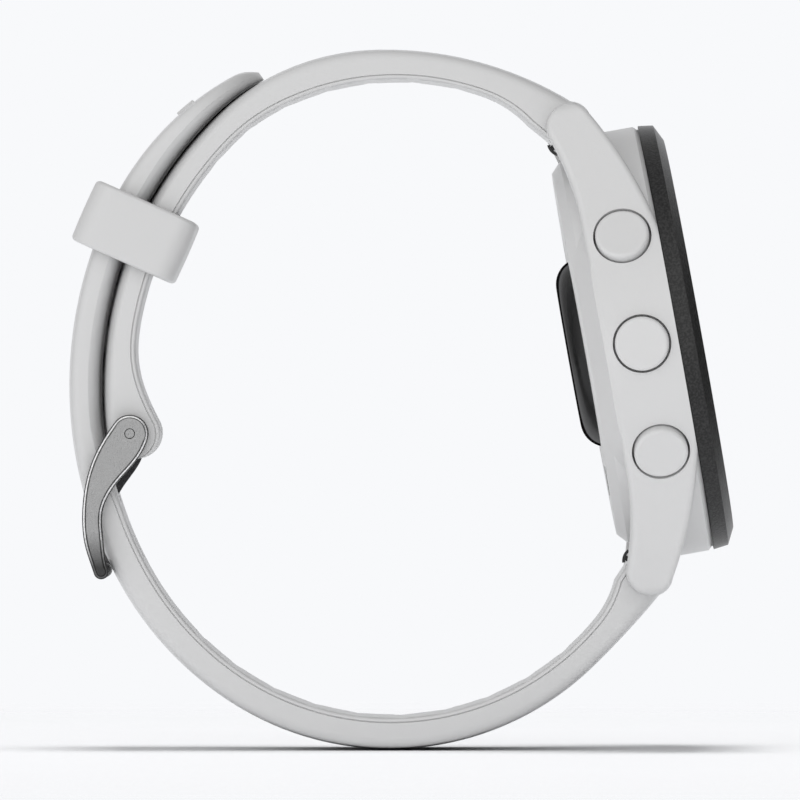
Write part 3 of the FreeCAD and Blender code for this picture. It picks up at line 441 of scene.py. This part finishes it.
def smooth(made):
    """Smooth shading, with the sharper edges kept crisp."""
    made.data.polygons.foreach_set("use_smooth", [True] * len(made.data.polygons))
    made.data.set_sharp_from_angle(angle=radians(CREASE_ANGLE))


def finish_piece(made, body, stands_for, material):
    """Shades a piece and says what it rides on, stands for and is made of."""
    smooth(made)
    made.data.materials.clear()
    made.data.materials.append(material)
    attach(made, body)
    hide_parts(*stands_for)
    return made


# ---- strap ----------------------------------------------------------------------------------
def strap_station(outer, inner, pad=1.0):
    """Cross-section of a strap of even width, with its usual edges."""
    return {"outer": (0, *outer), "inner": (0, *inner), "across": (1, 0, 0),
            "half": STRAP_HALF, "pad": pad, "edge": EDGE, "edge_slope": EDGE_SLOPE,
            "crown": CROWN, "bevel": UNDER_BEVEL}


def pad_height(travel):
    """1 on a raised pad, PAD_LEAST in the groove between two pads."""
    from_groove = abs((travel / PAD_PITCH) % 1 - 0.5) * PAD_PITCH
    return blend(PAD_LEAST, 1, clamped((from_groove - PAD_GAP / 2) / PAD_RAMP))


def padded_stations(pairs, reach):
    """Stations of a strap, with pads between two distances along its underside."""
    first, last = reach
    stations, travel, before = [], 0.0, None
    for outer, inner in pairs:
        if before:
            travel += distance(before, inner)
        before = inner
        pad = pad_height(travel) if first < travel < last else 1.0
        stations.append(strap_station(outer, inner, pad))
    return stations


def loop_angle(point):
    """Angle in degrees of a point (x, y, z) about the loop's centre."""
    return atan2(point[2] - LOOP[1], point[1] - LOOP[0]) * 180 / pi


def lug_stations(hand, outer_end, inner_end):
    """Stations that wrap a strap's end round its spring bar; hand is 1 above and -1 below."""
    crest, front, case, back = ((y, hand * z) for y, z in (LUG_CREST, LUG_FRONT, LUG_CASE, LUG_BACK))
    near_case = arc_through(front, case, back, LUG_STEPS)
    outer = arc_through(outer_end, crest, front) + near_case[1:LUG_OUTER_TO + 1]
    inner = [inner_end] + near_case[:LUG_INNER_FROM - 1:-1]
    return [strap_station(*pair) for pair in matched(outer, inner, LUG_STATION_STEP)[1:]]


def bar_cutters(hand):
    """Bore for the spring bar and slot for its release lever."""
    middle = (BAR_Y, hand * BAR_Z)
    bore = prism(circle(BAR_R + BORE_GAP, middle, count=32), -BAR_BORE_HALF, BAR_BORE_HALF)
    turn = radians(-hand * LEVER_ANGLE)
    ends = [(0, LEVER_SLOT_HALF), (LEVER_SLOT_REACH, LEVER_SLOT_HALF),
            (LEVER_SLOT_REACH, -LEVER_SLOT_HALF), (0, -LEVER_SLOT_HALF)]
    corners = [(middle[0] + along * cos(turn) - side * sin(turn),
                middle[1] + along * sin(turn) + side * cos(turn)) for along, side in ends]
    return [bore, prism(corners, LEVER_SLOT_FROM, LEVER_SLOT_TO)]


# ---- lower strap, with the tail ---------------------------------------------------------------
def tail_half_width(angle):
    """Half width of the tail, rounded in plan at its tip."""
    past = clamped((angle - (TAIL_END - TIP_ROUNDING)) / TIP_ROUNDING)
    return STRAP_HALF * sqrt(max(1 - past * past, TIP_LEAST))


def tail_bevel(angle):
    """Depth of the bevel along the underside, deeper where the tail lies on the other strap."""
    return blend(UNDER_BEVEL, TAIL_BEVEL, clamped((angle - TAIL_BEVEL_FROM) / TAIL_BEVEL_BLEND))


def tail_outer(angle):
    """Distance of the tail's outer face from the loop's centre."""
    taper = max(angle - TAIL_TAPER, 0.0) / (TAIL_END - TAIL_TAPER)
    rounding = max(angle - TIP_DROP_FROM, 0.0)
    return OUTER_OUT_R - TAIL_DROP * taper ** TAPER_POWER - TIP_DROP * rounding ** 2


def tail_inner(angle):
    """Distance of its underside, which follows the layer below as that bends inwards."""
    past = max(angle - INNER_END, 0.0) / (TAIL_END - INNER_END)
    return OUTER_IN_R - TAIL_SINK * past ** 2


def tail_pairs():
    """Pairs along the clasp side of the lower strap, from the tip."""
    tip = []
    for k in range(TIP_STATIONS + 1):
        angle = blend(TAIL_END, TAIL_TAPER, 1 - cos(k / TIP_STATIONS * pi / 2))
        tip.append((polar(tail_outer(angle), angle), polar(tail_inner(angle), angle)))
    body = matched(arc_points(OUTER_OUT_R, TAIL_TAPER, TAIL_START),
                   arc_points(OUTER_IN_R, TAIL_TAPER, TAIL_START))
    return joined(tip, body)


def shape_tail(stations):
    """Rounds the tip and deepens the bevel on the clasp side."""
    for station in stations:
        if station["inner"][1] > LOOP[0]:
            angle = loop_angle(station["inner"])
            station["half"] = tail_half_width(angle)
            station["bevel"] = tail_bevel(angle)


def make_pip():
    """Small raised bar on the tail's outer face."""
    outline = arc_points(OUTER_IN_R + PIP_ROOT, PIP_FROM, PIP_TO, count=8)
    for angle in (PIP_TO, (PIP_FROM + PIP_TO) / 2, PIP_FROM):
        outline.append(polar(tail_outer(angle) + PIP_HEIGHT, angle))
    pip = prism(outline, -PIP_HALF, PIP_HALF)
    rounding = pip.modifiers.new("round", "BEVEL")
    rounding.width = PIP_ROUNDING * MM
    rounding.segments = 2
    return bake(pip)


def lower_strap_cutters():
    """The free holes, the slanted hole in use and the cutters at the spring bar."""
    cutters = [hole_prism(HOLE_IN_USE + step * HOLE_STEP)
               for step in range(-HOLES_BELOW, HOLES_ABOVE + 1) if step]
    cutters.append(prism(strip_outline(SLANTED_HOLE, SLANTED_HALF_LENGTH),
                         -SLANTED_HALF_WIDTH, SLANTED_HALF_WIDTH))
    return cutters + bar_cutters(-1)


def make_lower_strap(material):
    outer = walk(OUTER_OUT_R, TAIL_START, LOWER_OUTER_ARCS, -1)
    inner = walk(OUTER_IN_R, TAIL_START, LOWER_INNER_ARCS, -1)
    stations = padded_stations(joined(tail_pairs(), matched(outer, inner)), LOWER_PADS)
    shape_tail(stations)
    stations += lug_stations(-1, outer[-1], inner[-1])
    strap = loft("lower_strap_moulded", stations)
    cut(strap, [make_pip()], "UNION")
    cut(strap, lower_strap_cutters())
    return finish_piece(strap, "case", ["lower_strap"], material)


# ---- upper strap, with the buckle end ---------------------------------------------------------
def buckle_end_pairs():
    """Pairs round the buckle pin, from the end of the bulb up to the even strap."""
    swell = INNER_OUT_R - distance(BULB, LOOP) - BULB_R
    bulb_out = []
    for k in range(BULB_STEPS + 1):
        share = k / BULB_STEPS
        bulb_out.append(polar(BULB_R + swell * share * share * (3 - 2 * share),
                              blend(BULB_OUTER_FROM, PIN_ANGLE, share), BULB))
    bulb_in = arc_points(BULB_R, BULB_INNER_FROM, BULB_LEAVE, BULB)
    neck_out = arc_points(INNER_OUT_R, PIN_ANGLE, FLARE_END)
    neck_in = bridge(bulb_in[-1], BULB_LEAVE - 90,
                     polar(INNER_IN_R, FLARE_END), FLARE_END + 90, FLARE_PULL)
    return joined(matched(bulb_out, bulb_in, BULB_STATION_STEP),
                  matched(neck_out, neck_in, NECK_STATION_STEP))


def soften_covered_edge(stations):
    """Makes the outer edge lower and wider where the tail lies on top."""
    for station in stations:
        angle = loop_angle(station["outer"])
        if PIN_ANGLE < angle < TAIL_END:
            share = min((TAIL_END - angle) / COVERED_BLEND, (angle - PIN_ANGLE) / COVERED_BLEND, 1)
            station["edge"] = blend(EDGE, COVERED_EDGE, share)
            station["edge_slope"] = blend(EDGE_SLOPE, COVERED_SLOPE, share)


def prong_room_cutters():
    """Slot in the buckle end where the prong's loop sits, and the bore for the pin."""
    pin = polar(PIN_ORBIT, PIN_ANGLE)
    inside, outside = pin[0] - PRONG_ROOM_IN, pin[0] + PRONG_ROOM_OUT
    top, bottom = pin[1] + PRONG_ROOM_R, pin[1] - PRONG_ROOM_DOWN
    corners = [(pin[0], top), (inside, top), (inside, bottom), (outside, bottom)]
    wider = PRONG_SLOT_HALF + OVERLAP
    return [prism(circle(PRONG_ROOM_R, pin, count=48), -PRONG_SLOT_HALF, PRONG_SLOT_HALF),
            prism(corners, -wider, wider),
            prism(circle(PIN_R + BORE_GAP, pin, count=24), -PIN_BORE_HALF, PIN_BORE_HALF)]


def make_upper_strap(material):
    even = matched(arc_points(INNER_OUT_R, FLARE_END, INNER_END),
                   arc_points(INNER_IN_R, FLARE_END, INNER_END))
    outer = walk(INNER_OUT_R, INNER_END, UPPER_OUTER_ARCS, 1)
    inner = walk(INNER_IN_R, INNER_END, UPPER_INNER_ARCS, 1)
    stations = padded_stations(joined(buckle_end_pairs(), even, matched(outer, inner)), UPPER_PADS)
    soften_covered_edge(stations)
    stations += lug_stations(1, outer[-1], inner[-1])
    strap = loft("upper_strap_moulded", stations)
    cut(strap, prong_room_cutters() + bar_cutters(1))
    return finish_piece(strap, "case", ["upper_strap"], material)


# ---- keeper loop ----------------------------------------------------------------------------
def keeper_station(outside, inside):
    """Cross-section of the keeper's wall at one turn of its outline."""
    turn = radians(KEEPER_ANGLE)
    y, z = polar(KEEPER_ORBIT, KEEPER_ANGLE)
    outer, inner = ((x, y + radial * cos(turn), z + radial * sin(turn))
                    for x, radial, _ in (outside, inside))
    return {"outer": outer, "inner": inner, "across": (0, -sin(turn), cos(turn)),
            "half": KEEPER_HALF_LENGTH, "pad": 1.0,
            "edge": blend(KEEPER_EDGE, KEEPER_SIDE_EDGE, outside[2]), "edge_slope": EDGE_SLOPE,
            "crown": KEEPER_CROWN, "bevel": KEEPER_INNER_BEVEL}


def make_keeper(material):
    outside = rounded_rectangle(KEEPER_HALF_WIDTH, KEEPER_HALF_RADIAL,
                                KEEPER_CORNER, KEEPER_CORNER_STEPS)
    inside = rounded_rectangle(KEEPER_HALF_WIDTH - KEEPER_SIDE_WALL,
                               KEEPER_HALF_RADIAL - KEEPER_WALL,
                               KEEPER_INNER_CORNER, KEEPER_CORNER_STEPS)
    stations = [keeper_station(*points) for points in zip(outside, inside)]
    keeper = loft("keeper_moulded", stations, closed=True)
    return finish_piece(keeper, "keeper", ["keeper"], material)


# ---- materials ------------------------------------------------------------------------------
NOISE_LOW, NOISE_HIGH = 0.3, 0.7               # most of a noise's values lie between these
SPECK_LOW, SPECK_HIGH = 0.4, 0.65              # the same, for more contrast
# how far the buckle's face turns sideways (0 to 1), tone: painted shade on the flanks and beside the
# bevels, painted highlight on the bevels, the steel's own satin grey on the sides
BUCKLE_PAINTED_LIGHT_TONES = [(0.62, 0.04), (0.72, 1.0), (0.9, 1.0), (0.94, 0.06), (0.98, 0.08), (0.996, 0.35)]
# painted shade that darkens the buckle towards its tip: where it is full, where it fades out, its
# tone and strength
TIP_SHADE_FULL_HEIGHT, TIP_SHADE_FADE_HEIGHT = 1.2, 4.8    # above the buckle's lowest point
TIP_SHADE_TONE, TIP_SHADE_STRENGTH = 0.02, 0.88
# finishes of small or hidden pieces: colour, roughness, metallic
PLAIN_FINISHES = {
    "seal_rubber": ((0.03, 0.03, 0.03), 0.7, 0.0),
    "clip_steel": ((0.6, 0.6, 0.6), 0.3, 1.0),
    "circuit_board": ((0.02, 0.12, 0.06), 0.4, 0.0),
    "flex_film": ((0.55, 0.3, 0.08), 0.35, 0.0),
    "display_black": ((0.01, 0.01, 0.012), 0.15, 0.0),
    "frame_black": ((0.05, 0.05, 0.05), 0.5, 0.0),
    "battery_foil": ((0.6, 0.61, 0.62), 0.3, 1.0),
    "pad_foam": ((0.08, 0.08, 0.08), 0.8, 0.0),
    "motor_steel": ((0.55, 0.55, 0.56), 0.3, 1.0),
    "buzzer_brass": ((0.7, 0.55, 0.25), 0.3, 1.0),
    "switch_resin": ((0.1, 0.1, 0.1), 0.5, 0.0),
    "emitter_resin": ((0.5, 0.7, 0.5), 0.3, 0.0),
}


def new_material(name, colour, roughness, metallic=0.0):
    made = bpy.data.materials.new(name)
    made.use_nodes = True
    shader = made.node_tree.nodes["Principled BSDF"]
    shader.inputs["Base Color"].default_value = (*colour, 1.0)
    shader.inputs["Roughness"].default_value = roughness
    shader.inputs["Metallic"].default_value = metallic
    return made, shader


def coordinate(tree, kind):
    return tree.nodes.new("ShaderNodeTexCoord").outputs[kind]


def ranged(tree, value, start, end, low, high, interpolation="LINEAR"):
    """A value that runs from low to high as another runs from start to end."""
    node = tree.nodes.new("ShaderNodeMapRange")
    node.interpolation_type = interpolation
    node.inputs["From Min"].default_value = start
    node.inputs["From Max"].default_value = end
    node.inputs["To Min"].default_value = low
    node.inputs["To Max"].default_value = high
    tree.links.new(value, node.inputs["Value"])
    return node.outputs["Result"]


def component(tree, vector, axis):
    parts = tree.nodes.new("ShaderNodeSeparateXYZ")
    tree.links.new(vector, parts.inputs["Vector"])
    return parts.outputs[axis]


def noise(tree, scale):
    """Noise in the piece's own coordinates; scale is in features per metre."""
    texture = tree.nodes.new("ShaderNodeTexNoise")
    texture.inputs["Scale"].default_value = scale
    texture.inputs["Detail"].default_value = 2.0
    tree.links.new(coordinate(tree, "Object"), texture.inputs["Vector"])
    return texture.outputs["Fac"]


def grain(material, shader, scale, height):
    """Fine surface grain; height is in metres."""
    tree = material.node_tree
    bump = tree.nodes.new("ShaderNodeBump")
    bump.inputs["Distance"].default_value = height
    tree.links.new(noise(tree, scale), bump.inputs["Height"])
    tree.links.new(bump.outputs["Normal"], shader.inputs["Normal"])


def mottle(material, shader, scale, low, high):
    """Roughness that wanders between two values."""
    tree = material.node_tree
    roughness = ranged(tree, noise(tree, scale), NOISE_LOW, NOISE_HIGH, low, high)
    tree.links.new(roughness, shader.inputs["Roughness"])


def speckle(material, shader, scale, low, high):
    """Fine light and dark specks in a grey base colour."""
    tree = material.node_tree
    tone = ranged(tree, noise(tree, scale), SPECK_LOW, SPECK_HIGH, low, high)
    tree.links.new(tone, shader.inputs["Base Color"])


def dull_at_edges(material, shader, start, end, full, least):
    """Sheen that fades from full to least as the surface turns away, from start to end."""
    tree = material.node_tree
    facing = tree.nodes.new("ShaderNodeLayerWeight").outputs["Facing"]
    sheen = ranged(tree, facing, start, end, full, least)
    tree.links.new(sheen, shader.inputs["Specular IOR Level"])


def silicone():
    made, shader = new_material("strap_silicone", (0.64, 0.64, 0.64), roughness=0.38)
    mottle(made, shader, scale=900, low=0.37, high=0.39)
    return made


def case_resin():
    made, shader = new_material("case_resin", (0.67, 0.67, 0.67), roughness=0.5)
    mottle(made, shader, scale=1200, low=0.34, high=0.42)
    grain(made, shader, scale=7000, height=0.000012)
    return made


def button_resin():
    made, shader = new_material("button_resin", (0.68, 0.68, 0.68), roughness=0.42)
    grain(made, shader, scale=6000, height=0.000004)
    return made


def bezel_black():
    made, shader = new_material("bezel_black", (0.006, 0.006, 0.006), roughness=0.3)
    dull_at_edges(made, shader, start=0.3, end=0.8, full=0.42, least=0.12)
    speckle(made, shader, scale=4500, low=0.0, high=0.022)
    grain(made, shader, scale=5000, height=0.00003)
    return made


def dark_glass():
    made, shader = new_material("glass", (0.02, 0.02, 0.025), roughness=0.03)
    shader.inputs["Transmission Weight"].default_value = 0.6
    shader.inputs["IOR"].default_value = 1.5
    grain(made, shader, scale=200, height=0.000001)
    return made


def sensor_black():
    made, shader = new_material("sensor_black", (0.006, 0.006, 0.006), roughness=0.2)
    dull_at_edges(made, shader, start=0.4, end=0.8, full=0.4, least=0.0)
    mottle(made, shader, scale=600, low=0.17, high=0.23)
    return made


def tone_with_painted_light(tree):
    """Grey that follows how far the surface turns sideways: painted highlight on the bevels, painted
    shade on the flanks, the steel's own satin grey on the sides.
    """
    size = tree.nodes.new("ShaderNodeMath")
    size.operation = "ABSOLUTE"
    tree.links.new(component(tree, coordinate(tree, "Normal"), "X"), size.inputs[0])
    ramp = tree.nodes.new("ShaderNodeValToRGB")
    elements = ramp.color_ramp.elements
    # steps of painted shade and painted highlight, set by the facing, and the steel's own satin grey
    for k, (position, tone) in enumerate(BUCKLE_PAINTED_LIGHT_TONES):
        # a new ramp already has two steps
        step = elements[k] if k < 2 else elements.new(position)
        step.position = position
        step.color = (tone, tone, tone, 1)
    tree.links.new(size.outputs["Value"], ramp.inputs["Fac"])
    return ramp.outputs["Color"]


def with_painted_tip_shade(tree, colour):
    """The colour, with painted shade that fades it to nearly black towards the buckle's lowest
    point.
    """
    low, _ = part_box("buckle_frame")
    height = component(tree, coordinate(tree, "Object"), "Z")
    # painted shade, full near the tip and gone higher up
    painted_shade = ranged(tree, height, low.z + TIP_SHADE_FULL_HEIGHT * MM, low.z + TIP_SHADE_FADE_HEIGHT * MM,
                      TIP_SHADE_STRENGTH, 0.0)
    shade_mix = tree.nodes.new("ShaderNodeMix")
    shade_mix.data_type = "RGBA"
    shade_mix.inputs["B"].default_value = (TIP_SHADE_TONE, TIP_SHADE_TONE, TIP_SHADE_TONE, 1)
    tree.links.new(painted_shade, shade_mix.inputs["Factor"])
    tree.links.new(colour, shade_mix.inputs["A"])
    return shade_mix.outputs["Result"]


def buckle_steel():
    """Satin faces towards the sides, bevels with a painted highlight, painted shade on the flanks
    and towards the tip.
    """
    made, shader = new_material("buckle_steel", (0.36, 0.36, 0.36), roughness=0.4, metallic=1.0)
    mottle(made, shader, scale=4000, low=0.34, high=0.44)
    grain(made, shader, scale=8000, height=0.00007)
    tree = made.node_tree
    # base colour carries painted highlights on the bevels and painted shade on the flanks and at the
    # tip
    tree.links.new(with_painted_tip_shade(tree, tone_with_painted_light(tree)), shader.inputs["Base Color"])
    return made


def dark_steel():
    made, shader = new_material("dark_steel", (0.035, 0.035, 0.037), roughness=0.4, metallic=0.6)
    grain(made, shader, scale=9000, height=0.000004)
    return made


def plain(name, colour, roughness, metallic):
    """Finish of a small or hidden piece, with a light wander in its roughness."""
    made, shader = new_material(name, colour, roughness, metallic)
    mottle(made, shader, scale=1500, low=roughness * 0.85, high=min(roughness * 1.15, 1.0))
    return made


def make_finishes():
    """One material for each slot of the record."""
    finishes = {
        "strap_silicone": silicone(), "case_resin": case_resin(), "bezel_black": bezel_black(),
        "glass": dark_glass(), "sensor_black": sensor_black(), "button_resin": button_resin(),
        "buckle_steel": buckle_steel(), "dark_steel": dark_steel(),
    }
    for name, finish in PLAIN_FINISHES.items():
        finishes[name] = plain(name, *finish)
    return finishes


def dress_cad_nodes(finishes):
    """Gives each CAD node the finish of its slot in the record."""
    slots = {part["node"]: part["material_slot"] for part in frame["record"]["subparts"]}
    for name, made in nodes.items():
        made.data.materials.clear()
        made.data.materials.append(finishes[slots[name]])


# ---- stage, light and camera; lengths are in metres -------------------------------------------
FLOOR_REACH = 0.30             # radius of the floor disc
FLOOR_SOLID = 0.10             # radius inside which it is opaque
FLOOR_CLEAR = FLOOR_REACH * 0.95               # radius outside which it is clear
FLOOR_COLOUR, FLOOR_ROUGHNESS = (0.72, 0.724, 0.736), 0.9
BACKDROP = (0.939, 0.947, 0.965)
ROOM_GREY = (0.52, 0.52, 0.525)
# direction, cosine where the glow starts, cosine where it is full, colour
SKY_PATCHES = [((-1, 0, 0), 0.1, 0.85, (1.33, 1.33, 1.33)),
               ((0, -1, 0), 0.3, 0.85, (0.06, 0.06, 0.06)),
               ((1, 0, 0), 0.7, 0.97, BACKDROP)]
FLOOR_LIGHT_SIZE, FLOOR_LIGHT_HEIGHT, FLOOR_LIGHT_POWER = 0.4, 1.0, 7.5
AIM = Vector((-0.01, 0.000134, 0.03487))
CAMERA_DISTANCE = 1.8
VIEW_WIDTH = 0.07952           # width of the view at that distance
SENSOR_WIDTH = 36.0            # in millimetres, like the lens
CLIP_NEAR, CLIP_FAR = 0.1, 20.0


def floor_white():
    """White that fades out into the background with the distance from the middle."""
    made, shader = new_material("floor_white", FLOOR_COLOUR, FLOOR_ROUGHNESS)
    tree = made.node_tree
    length = tree.nodes.new("ShaderNodeVectorMath")
    length.operation = "LENGTH"
    tree.links.new(coordinate(tree, "Object"), length.inputs[0])
    clearness = ranged(tree, length.outputs["Value"], FLOOR_SOLID, FLOOR_CLEAR, 0.0, 1.0,
                       "SMOOTHSTEP")
    clear = tree.nodes.new("ShaderNodeBsdfTransparent")
    mix = tree.nodes.new("ShaderNodeMixShader")
    tree.links.new(clearness, mix.inputs["Fac"])
    tree.links.new(shader.outputs["BSDF"], mix.inputs[1])
    tree.links.new(clear.outputs["BSDF"], mix.inputs[2])
    tree.links.new(mix.outputs["Shader"], tree.nodes["Material Output"].inputs["Surface"])
    return made


def make_floor():
    work = bmesh.new()
    bmesh.ops.create_circle(work, cap_ends=True, segments=96, radius=FLOOR_REACH)
    mesh = bpy.data.meshes.new("floor")
    work.to_mesh(mesh)
    work.free()
    floor = bpy.data.objects.new("floor", mesh)
    bpy.context.scene.collection.objects.link(floor)
    floor.data.materials.append(floor_white())
    return floor


def toward(tree, direction, start, end):
    """0 to 1 factor that rises as the sky's direction nears a given one (both as cosines)."""
    dot = tree.nodes.new("ShaderNodeVectorMath")
    dot.operation = "DOT_PRODUCT"
    dot.inputs[1].default_value = direction
    tree.links.new(coordinate(tree, "Generated"), dot.inputs[0])
    return ranged(tree, dot.outputs["Value"], start, end, 0.0, 1.0, "SMOOTHSTEP")


def make_surroundings():
    """Grey room that glows behind the camera, is dark on one side and is white behind the watch."""
    world = bpy.data.worlds.new("studio")
    world.use_nodes = True
    tree = world.node_tree
    colour = None
    for direction, start, end, glow in SKY_PATCHES:
        mix = tree.nodes.new("ShaderNodeMix")
        mix.data_type = "RGBA"
        tree.links.new(toward(tree, direction, start, end), mix.inputs["Factor"])
        # each patch is laid over the patches before it, and the first over the grey room
        if colour:
            tree.links.new(colour, mix.inputs["A"])
        else:
            mix.inputs["A"].default_value = (*ROOM_GREY, 1.0)
        mix.inputs["B"].default_value = (*glow, 1.0)
        colour = mix.outputs["Result"]
    tree.links.new(colour, tree.nodes["Background"].inputs["Color"])
    bpy.context.scene.world = world


def make_floor_light(floor):
    """Soft light straight above that lights only the floor, so that it throws the shadow."""
    light = bpy.data.lights.new("overhead", "AREA")
    light.size = FLOOR_LIGHT_SIZE
    light.energy = FLOOR_LIGHT_POWER
    made = bpy.data.objects.new("overhead", light)
    bpy.context.scene.collection.objects.link(made)
    made.location = (0, 0, FLOOR_LIGHT_HEIGHT)
    lit = bpy.data.collections.new("lit_from_above")
    lit.objects.link(floor)
    made.light_linking.receiver_collection = lit


def make_camera():
    """Long lens from the 9 o'clock side, level with the middle of the view."""
    camera = bpy.data.cameras.new("camera")
    camera.sensor_width = SENSOR_WIDTH
    camera.lens = SENSOR_WIDTH * CAMERA_DISTANCE / VIEW_WIDTH
    camera.clip_start, camera.clip_end = CLIP_NEAR, CLIP_FAR
    made = bpy.data.objects.new("camera", camera)
    bpy.context.scene.collection.objects.link(made)
    made.location = AIM - Vector((CAMERA_DISTANCE, 0, 0))
    made.rotation_euler = (radians(90), 0, radians(-90))
    bpy.context.scene.camera = made


def make_stage():
    make_floor_light(make_floor())
    make_surroundings()
    make_camera()
    bpy.context.scene.view_settings.view_transform = "Standard"


finishes = make_finishes()
dress_cad_nodes(finishes)
make_lower_strap(finishes["strap_silicone"])
make_upper_strap(finishes["strap_silicone"])
make_keeper(finishes["strap_silicone"])
make_stage()
